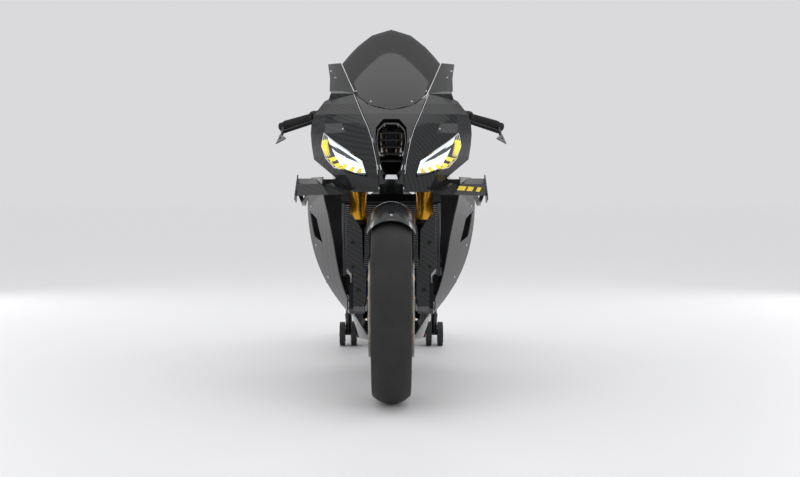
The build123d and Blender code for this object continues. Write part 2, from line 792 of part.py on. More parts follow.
seat_rows = [(872, 812, 846, 92), (960, 804, 838, 130), (1080, 812, 848, 140), (1140, 832, 876, 120)]
tail_rows = [(1150, 790, 905, 140), (1260, 812, 966, 132), (1430, 886, 998, 100), (1600, 972, 1006, 42)]


def rounded_rows(rows, radius, inset=0):
    """A loft through rounded boxes: place (back), lowest, highest and half width of each."""
    faces = []
    for y, low, high, half in rows:
        at = Plane(origin=(0, back(y), (low + high) / 2), x_dir=(1, 0, 0), z_dir=(0, 1, 0))
        faces.append(at * RectangleRounded(2 * (half - inset), high - low - 2 * inset, radius - inset))
    return loft(faces)


def seat_and_tail():
    """The seat pad, the hollow tail unit, its lamp and the subframe that carries them."""
    keep("seat_pad", rounded_rows(seat_rows, 12))
    front, *rest = tail_rows
    cavity = rounded_rows([(front[0] - 1, *front[1:]), *rest[:-1]], 14, 5)
    keep("tail_unit", rounded_rows(tail_rows, 14) - cavity)
    keep("tail_light", Pos(0, back(1607), 989) * Box(64, 12, 14))
    rails = [
        rod((104, back(806), 560), (92, back(1090), 765), 12),
        rod((140, back(690), 610), (94, back(880), 752), 12),
        rod((94, back(850), 742), (90, back(1300), 852), 12),
    ]
    keep("subframe", both(rails[0] + rails[1] + rails[2]))


# The swingarm: its pivot, and where the arms run
pivot_back, pivot_z = 838, 410
arm_x = 147
arm_wide = 30


def swingarm():
    """The swingarm with its pivot tube, cross member, two arms, axle and stand bobbins."""
    rows = [(arm_x, pivot_back + 60, pivot_z, 84), (arm_x, pivot_back + 230, pivot_z + 6, 120),
        (arm_x, wheelbase - 130, rear_axle_z, 74), (arm_x, wheelbase + 55, rear_axle_z, 56)]
    faces = [
        Plane(origin=(x, back(y), z), x_dir=(1, 0, 0), z_dir=(0, 1, 0)) * RectangleRounded(arm_wide,
            tall, 6)
        for x, y, z, tall in rows
    ]
    arm = loft(faces)
    cross = Pos(0, back(pivot_back + 92), pivot_z - 14) * Box(2 * arm_x, 66, 52)
    pivot = Pos(0, back(pivot_back + 40), pivot_z - 8) * Box(200, 76, 50)
    boss = Pos(arm_x, back(wheelbase - 12), rear_axle_z - 44) * Box(arm_wide, 44, 60)
    whole = arm + other_side(arm) + cross + pivot + boss + other_side(boss)
    hole = Pos(0, rear_axle_y, rear_axle_z) * Rot(0, 90, 0) * Cylinder(rear_axle_r, 500)
    keep("swingarm", whole - hole)
    bobbin_at = Pos(arm_x + arm_wide / 2, back(wheelbase - 12), rear_axle_z - 55)
    spool = Rot(0, 90, 0) * (
        Cylinder(9, 34, align=(Align.CENTER, Align.CENTER, Align.MIN))
        + Pos(0, 0, 28) * Cylinder(bobbin_r, 6, align=(Align.CENTER, Align.CENTER, Align.MIN))
        + Cylinder(bobbin_r, 6, align=(Align.CENTER, Align.CENTER, Align.MIN))
    )
    keep("stand_bobbins", both(bobbin_at * spool))
    axle = Pos(0, rear_axle_y, rear_axle_z) * Rot(0, 90, 0) * Cylinder(rear_axle_r,
        2 * arm_x + arm_wide + 8)
    nut = Pos(arm_x + arm_wide / 2, rear_axle_y, rear_axle_z) * Rot(0, 90, 0) * Cylinder(22, 10,
        align=(Align.CENTER, Align.CENTER, Align.MIN))
    bore = Pos(0, rear_axle_y, rear_axle_z) * Rot(0, 90, 0) * Cylinder(rear_axle_bore_r, 500)
    keep("rear_axle", axle + nut + other_side(nut) - bore)


def chain():
    """The drive chain as one closed loop round both sprockets."""
    front_c = (pivot_back - 90, pivot_z - 12)
    rear_c = (wheelbase, rear_axle_z)
    def loop(grow):
        r1, r2 = drive_sprocket_r + grow, sprocket_r + grow
        dy, dz = rear_c[0] - front_c[0], rear_c[1] - front_c[1]
        length = math.hypot(dy, dz)
        heading = math.atan2(dz, dy)
        lean = math.asin((r2 - r1) / length)
        up = heading + math.pi / 2 + lean
        down = heading - math.pi / 2 - lean
        a = (front_c[0] + r1 * math.cos(up), front_c[1] + r1 * math.sin(up))
        b = (rear_c[0] + r2 * math.cos(up), rear_c[1] + r2 * math.sin(up))
        c = (rear_c[0] + r2 * math.cos(heading), rear_c[1] + r2 * math.sin(heading))
        d = (rear_c[0] + r2 * math.cos(down), rear_c[1] + r2 * math.sin(down))
        e = (front_c[0] + r1 * math.cos(down), front_c[1] + r1 * math.sin(down))
        f = (front_c[0] - r1 * math.cos(heading), front_c[1] - r1 * math.sin(heading))
        at = lambda p: (0, back(p[0]), p[1])
        return make_face(Line(at(a), at(b)) + ThreePointArc(at(b), at(c), at(d)) + Line(at(d),
            at(e)) + ThreePointArc(at(e), at(f), at(a)))
    band = extrude(loop(12), 16, dir=(1, 0, 0)) - extrude(loop(5), 16, dir=(1, 0, 0))
    keep("drive_chain", Pos(sprocket_x - 8, 0, 0) * band)
    keep("front_sprocket", Pos(sprocket_x, back(front_c[0]), front_c[1]) * Rot(0, 90,
        0) * (Cylinder(drive_sprocket_r, 7) + Pos(0, 0, -8) * Cylinder(12, 16)))


def rear_details():
    """The rear caliper, the hugger, the shock and the foot pegs with their levers."""
    hugger = make_face(
        Line((rear_tyre_r - 20, 0, -97), (rear_tyre_r - 20, 0, -100))
        + ThreePointArc((rear_tyre_r - 20, 0, -100), (rear_tyre_r + 14, 0, 0), (rear_tyre_r - 20, 0, 100))
        + Line((rear_tyre_r - 20, 0, 100), (rear_tyre_r - 20, 0, 97))
        + ThreePointArc((rear_tyre_r - 20, 0, 97), (rear_tyre_r + 10, 0, 0), (rear_tyre_r - 20, 0, -97))
    )
    arc = revolve(hugger, Axis.Z, 84)
    shape = Pos(0, rear_axle_y, rear_axle_z) * Rot(0, 90, 0) * Rot(0, 0, 204) * arc
    keep("rear_hugger", shape)
    caliper = Pos(rear_disc_x, back(wheelbase - 96), rear_axle_z - 30) * Box(44, 70, 54)
    caliper = caliper - Pos(rear_disc_x, rear_axle_y, rear_axle_z) * Rot(0, 90,
        0) * Cylinder(rear_disc_r + 3, disc_t + 4)
    keep("rear_brake_caliper", caliper)
    spring = Pos(0, back(940), 550) * Rot(-10, 0, 0) * (Cylinder(30, 150) + Cylinder(13, 246))
    keep("rear_shock", spring)
    bracket = side_plate([(846, 500), (880, 510), (960, 420), (930, 380), (850, 400)], 166, 173)
    bosses = [rod((151, back(y), z), (166, back(y), z), 10) for y, z in ((858, 480), (862, 414))]
    peg = rod((173, back(930), 402), (246, back(936), 408), 11)
    heel = side_plate([(890, 450), (960, 470), (990, 540), (930, 520)], 174, 178)
    rearset = bracket + bosses[0] + bosses[1] + peg + heel
    lever = rod((178, back(914), 392), (188, back(812), 372), 5) + rod((186, back(812), 372),
        (238, back(808), 372), 8)
    joint = rod((172, back(922), 394), (180, back(914), 392), 9)
    keep("rearsets", both(rearset + joint + lever))


# The silencer: x, place (back), height and radius of each round section
silencer_rows = [(-212, 1010, 352, 34), (-218, 1080, 376, 46), (-222, 1260, 446, 48),
    (-222, 1300, 462, 38)]


def exhaust():
    """The pipe from under the engine to the silencer, and the silencer on the right side."""
    tilt = (-0.03, 1, 0.39)
    can = loft([Plane(origin=(x, back(y), z), x_dir=(1, 0.03, 0), z_dir=tilt) * Circle(r) for x, y,
        z, r in silencer_rows])
    keep("silencer", can)
    pipe = tube(
        [(0, back(560), 178), (0, back(800), 178), (-90, back(890), 246), (-210, back(960), 333),
            (-212, back(1014), 354)],
        25, 34)
    keep("exhaust_pipes", pipe - can)


# The paddock stand: places measured back from the front axle
stand_wheel_back = 1404
bobbin_back = wheelbase - 12
stand_rear = overall_length - front_tyre_r


def paddock_stand():
    """The rear paddock stand, with a pair of wheels on each side and a handle behind."""
    x = stand_half_span
    upright = rod((x, back(stand_wheel_back), stand_wheel_r),
        (x, back(bobbin_back), rear_axle_z - 78), 11)
    hook = side_plate(
        [(bobbin_back - 34, rear_axle_z - 52), (bobbin_back - 10, rear_axle_z - 65),
            (bobbin_back + 10, rear_axle_z - 65),
         (bobbin_back + 30, rear_axle_z - 52), (bobbin_back + 30, rear_axle_z - 84),
             (bobbin_back - 34, rear_axle_z - 84)],
        x - 8, x + 8)
    rear = back(stand_rear - stand_tube_r)
    path = [(x, back(stand_wheel_back + 12), 128), (x, back(1560), 56), (x, back(1800), 46),
        (x, rear, 42), (0, rear, 42)]
    run = tube(path, stand_tube_r, 40)
    cross = rod((0, back(1700), 50), (x, back(1700), 50), 12)
    axle = rod((x - 36, back(stand_wheel_back), stand_wheel_r),
        (x + 36, back(stand_wheel_back), stand_wheel_r), stand_axle_r)
    pad = Pos(110, rear, 15) * Box(60, 28, 30)
    half = upright + hook + run + cross + axle + pad
    keep("paddock_stand", half + other_side(half))
    wheel = Cylinder(stand_wheel_r, stand_wheel_w) - Cylinder(stand_axle_r + axle_clearance,
        stand_wheel_w)
    for name, side in (("stand_wheels_left", 1), ("stand_wheels_right", -1)):
        pair = [
            Pos(side * (x + s * (stand_wheel_gap + stand_wheel_w) / 2), back(stand_wheel_back),
                stand_wheel_r) * Rot(0, 90, 0) * wheel
            for s in (1, -1)
        ]
        keep(name, pair)


def brakes():
    """The two front calipers, on the back of the fork legs."""
    caliper = Pos(front_disc_x + 4, back(130), 360) * Box(60, 46, 96)
    slot = wheel_at(Cylinder(front_disc_r + 4, disc_t + 4), front_axle_y, front_axle_z)
    caliper = caliper - Pos(front_disc_x, 0, 0) * slot
    keep("front_calipers", both(caliper))


front_wheel()
rear_wheel()
fork()
clamps()
controls()
keep("front_mudguard", front_mudguard())
keep("brake_ducts", both(brake_ducts()[0]) + both(brake_ducts()[1]))
brakes()
cowls()
windscreen()
side_fairings()
belly_pan()
winglets()
dash()
intake()
frame()
engine()
radiators()
tank()
seat_and_tail()
swingarm()
chain()
rear_details()
exhaust()
paddock_stand()

for name, shape in pieces.items():
    export_step(shape, f"parts/{name}.step")
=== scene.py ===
# %% [markdown]
# A sport motorcycle on its rear paddock stand, dressed in Blender around a fixed frame of solids. The frame holds
# the real sizes, joints and carrying pieces, and this file gives them their finishes and adds the small pieces.

# %% Load the frame
import json
import math

import bmesh
import bpy
from mathutils import Matrix, Vector
from mathutils.bvhtree import BVHTree


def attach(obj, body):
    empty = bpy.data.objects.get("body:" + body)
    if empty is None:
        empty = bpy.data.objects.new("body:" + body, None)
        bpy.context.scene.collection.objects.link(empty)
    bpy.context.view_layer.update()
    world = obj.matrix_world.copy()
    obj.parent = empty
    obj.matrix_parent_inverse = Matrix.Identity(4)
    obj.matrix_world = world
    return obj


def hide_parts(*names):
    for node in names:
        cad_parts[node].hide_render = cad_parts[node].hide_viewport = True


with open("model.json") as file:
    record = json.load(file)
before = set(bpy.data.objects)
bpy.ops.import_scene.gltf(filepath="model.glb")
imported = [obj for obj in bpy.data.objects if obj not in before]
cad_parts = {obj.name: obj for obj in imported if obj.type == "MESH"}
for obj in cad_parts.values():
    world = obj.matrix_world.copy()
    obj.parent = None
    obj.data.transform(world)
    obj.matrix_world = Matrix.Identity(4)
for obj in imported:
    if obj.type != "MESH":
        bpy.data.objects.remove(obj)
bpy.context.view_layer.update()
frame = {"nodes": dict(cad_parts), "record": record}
joints = {j["name"]: j for j in frame["record"]["behaviour"]["joints"]}
FRONT = Vector(joints["front_wheel_spin"]["pos_m"])
REAR = Vector(joints["rear_wheel_spin"]["pos_m"])
STEER_AXIS = Vector(joints["steering"]["axis"])
MM = 0.001
print("front axle", tuple(FRONT), "rear axle", tuple(REAR))


def back(distance_mm):
    """A place along the bike in metres, measured back from the front axle in millimetres."""
    return FRONT.y + distance_mm * MM


# %% [markdown]
# The camera stands straight in front of the bike, a little under the height of the headlights. Its distance, its
# height and its lens come from the tyre's width and from where the front tyre and the stand meet the floor.

# %% Camera
CAMERA_AHEAD = 3.70
CAMERA_HEIGHT = 0.64
FOCAL_PX = 1211
FRAME_PX = (800, 477)
HORIZON_PX = 194
CENTRE_PX = 391.3

camera_data = bpy.data.cameras.new("camera")
camera_data.sensor_width = 36
camera_data.lens = FOCAL_PX / FRAME_PX[0] * camera_data.sensor_width
camera = bpy.data.objects.new("camera", camera_data)
bpy.context.scene.collection.objects.link(camera)
pitch = math.atan((FRAME_PX[1] / 2 - HORIZON_PX) / FOCAL_PX)
yaw = math.atan((FRAME_PX[0] / 2 - CENTRE_PX) / FOCAL_PX)
camera.rotation_euler = (math.pi / 2 - pitch, 0, -yaw)
camera.location = (0, FRONT.y - CAMERA_AHEAD, CAMERA_HEIGHT)
bpy.context.scene.camera = camera
bpy.context.scene.view_settings.view_transform = "Standard"
print("lens", round(camera_data.lens, 1), "mm, turned down", round(math.degrees(pitch), 2), "degrees")

# %% [markdown]
# A finish is a small tree of nodes. Two helpers keep the trees short: one turns the hex colour of a paint chart into
# the linear numbers that a shader wants, the other adds a node with its settings and links.

# %% Helpers for finishes
GRAIN_DEPTH = 0.0004
WEAR_SCALE = 14.0


def hex_color(text):
    """The linear colour of an sRGB hex value such as #C8902F."""
    values = [int(text[i:i + 2], 16) / 255 for i in (1, 3, 5)]
    linear = [v / 12.92 if v <= 0.04045 else ((v + 0.055) / 1.055) ** 2.4 for v in values]
    return (*linear, 1)


def add_node(tree, kind, settings=(), links=()):
    """Adds a node. Settings are attributes or input values, links are (input, node, output)."""
    node = tree.nodes.new("ShaderNode" + kind)
    for key, value in dict(settings).items():
        if isinstance(key, str) and hasattr(node, key):
            setattr(node, key, value)
        else:
            node.inputs[key].default_value = value
    for socket, source, output in links:
        tree.links.new(source.outputs[output], node.inputs[socket])
    return node


def new_finish(name, **values):
    """A material with a Principled shader whose sockets are set from plain numbers and colours."""
    material = bpy.data.materials.new(name)
    material.use_nodes = True
    shader = material.node_tree.nodes["Principled BSDF"]
    for key, value in values.items():
        shader.inputs[key.replace("_", " ").capitalize() if key != "IOR" else key].default_value = value
    return material, material.node_tree, shader


def grain(tree, shader, size_mm, strength, roughness, stretch=(1, 1, 1)):
    """Breaks a surface up: a fine noise for its bump, and a broad one that moves its roughness between two values."""
    place = add_node(tree, "TexCoord")
    scale = add_node(tree, "Mapping", {"Scale": stretch}, [("Vector", place, "Object")])
    noise = add_node(tree, "TexNoise", {"Scale": 1000 / size_mm, "Detail": 3.0}, [("Vector", scale, "Vector")])
    bump = add_node(tree, "Bump", {"Strength": strength, "Distance": GRAIN_DEPTH}, [("Height", noise, "Fac")])
    tree.links.new(bump.outputs["Normal"], shader.inputs["Normal"])
    wide = add_node(tree, "TexNoise", {"Scale": WEAR_SCALE, "Detail": 4.0}, [("Vector", scale, "Vector")])
    dull = add_node(tree, "MapRange", {"To Min": roughness[0], "To Max": roughness[1]}, [("Value", wide, "Fac")])
    tree.links.new(dull.outputs["Result"], shader.inputs["Roughness"])


# %% [markdown]
# Carbon fibre is woven from flat tows of black fibre and sealed under clear lacquer. In a twill each tow passes
# over two and under two, so the weave runs in slanted steps. Tows are 3 mm wide. They are drawn at 5 mm here,
# because finer ones would not show from three metres. The weave catches light in two directions, which two greys
# stand for.

# %% Carbon fibre
TOW_MM = 5.0
TWILL_REPEAT = 4.0
TWILL_OVER = 1.5


def carbon(name, across, along, dark="#07080A", light="#1B1D20"):
    """Lacquered twill carbon. The two directions of its tows are given in object space."""
    material, tree, shader = new_finish(name, Metallic=0.0, Roughness=0.34)
    shader.inputs["Specular IOR Level"].default_value = 0.12
    shader.inputs["Coat Weight"].default_value = 0.6
    shader.inputs["Coat Roughness"].default_value = 0.06
    place = add_node(tree, "TexCoord")
    scaled = []
    for direction in (across, along):
        dot = add_node(tree, "VectorMath", {"operation": "DOT_PRODUCT", 1: direction}, [(0, place, "Object")])
        scaled.append(add_node(tree, "Math", {"operation": "MULTIPLY", 1: 1000 / TOW_MM}, [(0, dot, "Value")]))
    steps = [add_node(tree, "Math", {"operation": "FLOOR"}, [(0, s, 0)]) for s in scaled]
    total = add_node(tree, "Math", {"operation": "ADD"}, [(0, steps[0], 0), (1, steps[1], 0)])
    cycle = add_node(tree, "Math", {"operation": "FLOORED_MODULO", 1: TWILL_REPEAT}, [(0, total, 0)])
    over = add_node(tree, "Math", {"operation": "LESS_THAN", 1: TWILL_OVER}, [(0, cycle, 0)])
    mix = add_node(tree, "Mix", {"data_type": "RGBA"}, [(0, over, 0)])
    mix.inputs[6].default_value = hex_color(dark)
    mix.inputs[7].default_value = hex_color(light)
    tree.links.new(mix.outputs[2], shader.inputs["Base Color"])
    rounds = [add_node(tree, "Math", {"operation": "PINGPONG", 1: 0.5}, [(0, s, 0)]) for s in scaled]
    height = add_node(tree, "Mix", {"data_type": "FLOAT"}, [(0, over, 0), (2, rounds[0], 0), (3, rounds[1], 0)])
    bump = add_node(tree, "Bump", {"Strength": 0.35, "Distance": 0.0006}, [("Height", height, 0)])
    tree.links.new(bump.outputs["Normal"], shader.inputs["Normal"])
    return material


carbon_front = carbon("lacquered_carbon_twill", (0.8, 0.6, 0), (0, 0.45, 0.89))
carbon_flat = carbon("lacquered_carbon_twill_flat", (1, 0, 0), (0, 1, 0))
print("tows of", TOW_MM, "mm in", carbon_front.name, "and", carbon_flat.name)

# %% [markdown]
# The metals are anodised, machined, ground, plated or cast. One recipe serves them all: a metal of one colour, a
# roughness that wanders about its mean, and a fine bump. Stretching the noise draws brushed or turned lines.

# %% Metals
METAL_SPREAD = 0.1


def metal(name, color, roughness, size_mm=1.2, bump=0.06, stretch=(1, 1, 1)):
    """A metal of one colour with a fine grain."""
    material, tree, shader = new_finish(name, Metallic=1.0, Roughness=roughness)
    shader.inputs["Base Color"].default_value = hex_color(color)
    grain(tree, shader, size_mm, bump, (roughness - METAL_SPREAD, roughness + METAL_SPREAD), stretch)
    return material


gold = metal("gold_anodised_aluminium", "#C9922E", 0.26, 0.8, 0.05)
machined = metal("machined_aluminium", "#B9BBBE", 0.3, 0.5, 0.08, (1, 1, 6))
satin_alu = metal("satin_aluminium", "#8E9094", 0.38)
black_alu = metal("black_anodised_aluminium", "#24262A", 0.36)
ground_steel = metal("ground_disc_steel", "#A9A49B", 0.28, 0.6, 0.1)
steel = metal("zinc_plated_steel", "#9A9CA0", 0.34)
titanium = metal("brushed_titanium", "#8C8379", 0.33, 0.5, 0.1, (8, 1, 8))
engine_cast = metal("cast_engine_aluminium", "#2F3135", 0.55, 1.6, 0.35)
bronze = metal("bronze_anodised_aluminium", "#B08238", 0.3)
blue_anodised = metal("blue_anodised_aluminium", "#1D4E9E", 0.28)
red_anodised = metal("red_anodised_aluminium", "#A81E22", 0.28)
orange_alu = metal("orange_anodised_aluminium", "#D9641B", 0.3)
chain_metal = metal("oiled_chain_steel", "#6C6250", 0.35, 0.8, 0.2)

# %% [markdown]
# Lacquer, plastic and rubber aren't metals. A coat gives lacquer its gloss, and the paint under it then reflects
# little by itself. A stronger bump makes moulded plastic, powder coat, rubber and leather.

# %% Lacquers, plastics and rubber


def plain(name, color, roughness, size_mm=0.8, bump=0.1, coat=0.0, spread=0.08):
    """A surface of one colour with a fine grain, under a clear coat where it has one."""
    material, tree, shader = new_finish(name, Roughness=roughness)
    shader.inputs["Base Color"].default_value = hex_color(color)
    shader.inputs["Coat Weight"].default_value = coat
    shader.inputs["Coat Roughness"].default_value = 0.04
    shader.inputs["Specular IOR Level"].default_value = 0.1 if coat else 0.5
    grain(tree, shader, size_mm, bump, (roughness - spread, roughness + spread))
    return material


lacquer = plain("gloss_black_lacquer", "#08090A", 0.12, 3.0, 0.01, 1.0, 0.03)
# The same black plastic also paints the shade in the headlight's slit.
black_plastic_and_painted_shade = plain("moulded_black_plastic_and_painted_shade", "#17181A", 0.5, 0.7, 0.2)
stand_paint = plain("black_powder_coat", "#141516", 0.42, 0.9, 0.25)
grip_rubber = plain("grip_rubber", "#121213", 0.8, 1.0, 0.4)
wheel_plastic = plain("nylon_stand_wheel", "#1A1B1D", 0.5, 0.8, 0.15)
caliper_paint = plain("blue_caliper_lacquer", "#123E86", 0.25, 1.0, 0.03, 0.8)
carbon_rim = plain("lacquered_black_rim", "#0C0D0E", 0.22, 2.5, 0.03, 0.9, 0.05)
seat_leather = plain("stitched_seat_cover", "#141415", 0.62, 1.4, 0.5)
yellow_film = plain("yellow_lacquer", "#E8C81E", 0.3, 1.5, 0.02, 0.6)
# The silver lacquer also paints the highlight along the cowls' edges.
silver_and_highlight_film = plain("silver_lacquer_and_painted_highlight", "#C3C6CA", 0.28, 1.5, 0.02, 0.6)
tail_red = plain("red_lens", "#8E0C10", 0.15, 2.0, 0.02, 0.8)
print("opaque finishes so far:", len(bpy.data.materials))

# %% [markdown]
# A slick tyre is nearly smooth: black rubber that has gone a little grey and grainy where it ran. The colour follows
# a broad noise, and a fine noise roughens it.

# %% Tyre rubber
tyre_rubber, tree, shader = new_finish("slick_tyre_rubber", Roughness=0.72)
grain(tree, shader, 2.2, 0.35, (0.6, 0.85))
place = add_node(tree, "TexCoord")
scuff = add_node(tree, "TexNoise", {"Scale": 22.0, "Detail": 6.0}, [("Vector", place, "Object")])
shade = add_node(tree, "ValToRGB", (), [("Fac", scuff, "Fac")])
shade.color_ramp.elements[0].color = hex_color("#0E0E0F")
shade.color_ramp.elements[1].color = hex_color("#222223")
tree.links.new(shade.outputs["Color"], shader.inputs["Base Color"])

# %% [markdown]
# Clear pieces pass light: the screen is lightly smoked acrylic, the lamp covers are polycarbonate. Thin glass
# without refraction looks right for both, so a transparent shader is mixed with a glossy one by Fresnel.

# %% Clear pieces


def clear(name, tint, gloss=0.02, see=0.0):
    """A thin clear sheet: tinted where light passes, mirror-like where it grazes."""
    material = bpy.data.materials.new(name)
    material.use_nodes = True
    tree = material.node_tree
    tree.nodes.clear()
    passing = add_node(tree, "BsdfTransparent", {"Color": hex_color(tint)})
    shine = add_node(tree, "BsdfGlossy", {"Color": hex_color("#FFFFFF"), "Roughness": gloss})
    edge = add_node(tree, "Fresnel", {"IOR": 1.5})
    more = add_node(tree, "Math", {"operation": "ADD", 1: see}, [(0, edge, 0)])
    mix = add_node(tree, "MixShader", (), [(0, more, 0), (1, passing, 0), (2, shine, 0)])
    add_node(tree, "OutputMaterial", (), [("Surface", mix, 0)])
    return material


screen_tint = clear("smoked_acrylic", "#63686C", 0.03)
lamp_clear = clear("clear_polycarbonate", "#E8ECEE", 0.02, 0.02)

# %% [markdown]
# A lit lamp gives off light of its own colour. The strength stays low, so that it reads as a colour and not as white.

# %% Lit pieces


def glow(name, color, strength):
    """A surface that also gives off its own colour."""
    material, tree, shader = new_finish(name, Roughness=0.4)
    shader.inputs["Base Color"].default_value = hex_color(color)
    shader.inputs["Emission Color"].default_value = hex_color(color)
    shader.inputs["Emission Strength"].default_value = strength
    return material


lamp_white = glow("lit_white_lamp", "#F4F8FF", 1.6)
lamp_yellow = glow("lit_yellow_lamp", "#F4D838", 0.9)

# %% [markdown]
# Each node of the frame takes the finish of its real piece.

# %% Finishes of the frame's nodes
finishes = {
    carbon_front: "side_cowls side_fairings brake_ducts front_mudguard rear_hugger belly_pan",
    carbon_flat: "winglets",
    lacquer: "nose_panel fuel_tank tail_unit intake_duct",
    screen_tint: "windscreen",
    lamp_clear: "headlight_lenses",
    black_plastic_and_painted_shade: "headlight_units dash_panel lever_guards brake_fluid_pot",
    gold: "fork_upper_tubes",
    black_alu: "fork_lower_legs fork_clamps clip_on_bars levers rearsets front_stay tank_cap",
    satin_alu: "main_frame swingarm subframe",
    engine_cast: "engine radiators",
    steel: "front_axle rear_axle stand_bobbins front_sprocket rear_shock",
    ground_steel: "front_discs rear_disc",
    caliper_paint: "front_calipers rear_brake_caliper",
    carbon_rim: "front_rim rear_rim",
    tyre_rubber: "front_tyre rear_tyre",
    grip_rubber: "grips",
    seat_leather: "seat_pad",
    titanium: "silencer exhaust_pipes",
    bronze: "rear_sprocket",
    chain_metal: "drive_chain",
    stand_paint: "paddock_stand",
    wheel_plastic: "stand_wheels_left stand_wheels_right",
    tail_red: "tail_light",
}
for material, names in finishes.items():
    for name in names.split():
        mesh = frame["nodes"][name].data
        mesh.materials.clear()
        mesh.materials.append(material)
left_over = set(frame["nodes"]) - {n for names in finishes.values() for n in names.split()}
print("nodes with no finish:", left_over)

# %% [markdown]
# Every new piece starts as a bmesh and goes through one function. It makes the object, smooths its faces up to a
# sharp angle, softens its edges where asked, and lets it ride on the body that carries it.

# %% Helper for new pieces


def finish_piece(name, form, material, body, slot, smooth_angle=40, bevel=None):
    """Makes an object of a bmesh, with its finish and its body. The slot argument is not used."""
    mesh = bpy.data.meshes.new(name)
    bmesh.ops.recalc_face_normals(form, faces=form.faces)
    form.to_mesh(mesh)
    form.free()
    piece = bpy.data.objects.new(name, mesh)
    bpy.context.scene.collection.objects.link(piece)
    mesh.materials.append(material)
    mesh.shade_smooth()
    mesh.set_sharp_from_angle(angle=math.radians(smooth_angle))
    if bevel:
        modifier = piece.modifiers.new("soft_edges", "BEVEL")
        modifier.width = bevel * MM
        modifier.segments = 2
        modifier.limit_method = "ANGLE"
    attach(piece, body)
    print(name, "has", len(mesh.polygons), "faces and rides on", body)
    return piece


# %% [markdown]
# Nearly every small piece is made of turned or squared shapes: a drum for caps, rings and bars, a block for ribs,
# and a screw of two drums. Each is added to a bmesh where it belongs, so that objects can stay at the origin.

# %% Drums, blocks and screws
SOCKET_SHARE = 0.42
HEAD_TAPER = 0.72


def turn_to(direction):
    """The turn that points Z along a direction."""
    return Vector(direction).to_track_quat("Z", "Y").to_matrix().to_4x4()


def add_drum(work, centre, direction, radius, height, sides=24, top=None):
    """Adds a round bar or cone, centred on a point."""
    matrix = Matrix.Translation(centre) @ turn_to(direction)
    bmesh.ops.create_cone(work, cap_ends=True, cap_tris=False, segments=sides, radius1=radius,
                          radius2=radius if top is None else top, depth=height, matrix=matrix)


def add_block(work, centre, size, turn=None):
    """Adds a block, centred on a point and turned about it."""
    matrix = Matrix.Translation(centre) @ (turn or Matrix.Identity(4)) @ Matrix.Diagonal((*size, 1))
    return bmesh.ops.create_cube(work, size=1, matrix=matrix)["verts"]


def add_bolt(work, place, direction, radius, height):
    """Adds a button-head socket screw that stands on a surface."""
    direction = Vector(direction).normalized()
    head = Vector(place) + direction * height * 0.4
    add_drum(work, head, direction, radius, height, 16, radius * HEAD_TAPER)
    add_drum(work, head + direction * height * 0.35, direction, radius * SOCKET_SHARE, height * 0.4, 6)


def ring_of(centre, radius, count, start=0.0, axis=(1, 0, 0)):
    """Places on a circle about an axis."""
    turn = turn_to(axis)
    for i in range(count):
        angle = start + i / count * math.tau
        yield Vector(centre) + turn @ Vector((math.cos(angle), math.sin(angle), 0)) * radius


# %% [markdown]
# A piece that sits on a curved panel has to find it. A search tree of the panel's faces tells where a line from the
# front first meets it, and which way the face looks there.

# %% Finding a surface
AHEAD_OF_ALL = -3


def spot(x, back_mm, z):
    """A place from millimetres: across, back from the front axle, and up."""
    return Vector((x * MM, back(back_mm), z * MM))


def skin(node):
    """A tree of a node's faces, for finding its surface."""
    mesh = frame["nodes"][node].data
    return BVHTree.FromPolygons([v.co for v in mesh.vertices], [p.vertices for p in mesh.polygons])


def seen_from_front(tree, x, z):
    """Where a line from the front at x and z metres first meets a surface, and the normal that faces the front."""
    place, normal, *_ = tree.ray_cast(Vector((x, AHEAD_OF_ALL, z)), Vector((0, 1, 0)))
    if place is not None and normal.y > 0:
        normal = -normal
    return place, normal


# %% [markdown]
# The light is that of a photo studio: one large soft light overhead, one wide one each side of the camera, and weak
# strips behind the bike that draw a bright line along its dark edges.

# %% Lights


def studio_light(name, place, target, size, power):
    """A soft rectangular lamp that looks at a point."""
    data = bpy.data.lights.new(name, "AREA")
    data.shape = "RECTANGLE"
    data.size, data.size_y = size
    data.energy = power
    lamp = bpy.data.objects.new(name, data)
    bpy.context.scene.collection.objects.link(lamp)
    lamp.location = place
    lamp.rotation_euler = (Vector(target) - Vector(place)).to_track_quat("-Z", "Y").to_euler()


studio_light("overhead", (0, -1.0, 4.2), (0, 0, 0.5), (4.0, 4.0), 38)
for name, side in (("left", 1), ("right", -1)):
    studio_light(name + "_front", (side * 3.4, -4.2, 2.2), (0, -0.6, 0.6), (1.2, 2.4), 18)
for name, side in (("left", 1), ("right", -1)):
    studio_light(name + "_edge", (side * 3.0, 2.6, 1.6), (0, 0, 0.6), (0.8, 2.4), 22)
print("lamps:", len(bpy.data.lights))

# %% [markdown]
# The floor is one pale sheet, so large that its edge is out of sight. Its roughness changes slowly from place to
# place, as a painted floor's does.

# %% Floor
FLOOR_COLOR = "#E2E2E4"
FLOOR_HALF = 60

floor_finish, tree, shader = new_finish("pale_studio_floor", Roughness=0.55)
shader.inputs["Base Color"].default_value = hex_color(FLOOR_COLOR)
place = add_node(tree, "TexCoord")
patches = add_node(tree, "TexNoise", {"Scale": 2.5 / FLOOR_HALF, "Detail": 4.0}, [("Vector", place, "Object")])
dull = add_node(tree, "MapRange", {"To Min": 0.5, "To Max": 0.6}, [("Value", patches, "Fac")])
tree.links.new(dull.outputs["Result"], shader.inputs["Roughness"])

floor_form = bmesh.new()
bmesh.ops.create_grid(floor_form, x_segments=1, y_segments=1, size=FLOOR_HALF)
floor_mesh = bpy.data.meshes.new("studio_floor")
floor_form.to_mesh(floor_mesh)
floor_form.free()
floor = bpy.data.objects.new("studio_floor", floor_mesh)
floor_mesh.materials.append(floor_finish)
bpy.context.scene.collection.objects.link(floor)
print("floor", 2 * FLOOR_HALF, "m across")

# %% [markdown]
# The air lights the bike evenly with white. The camera and the clear pieces see a backdrop in the colour that the
# far floor renders as, so that the two run into each other without a line. Mirroring metal sees a third of it.

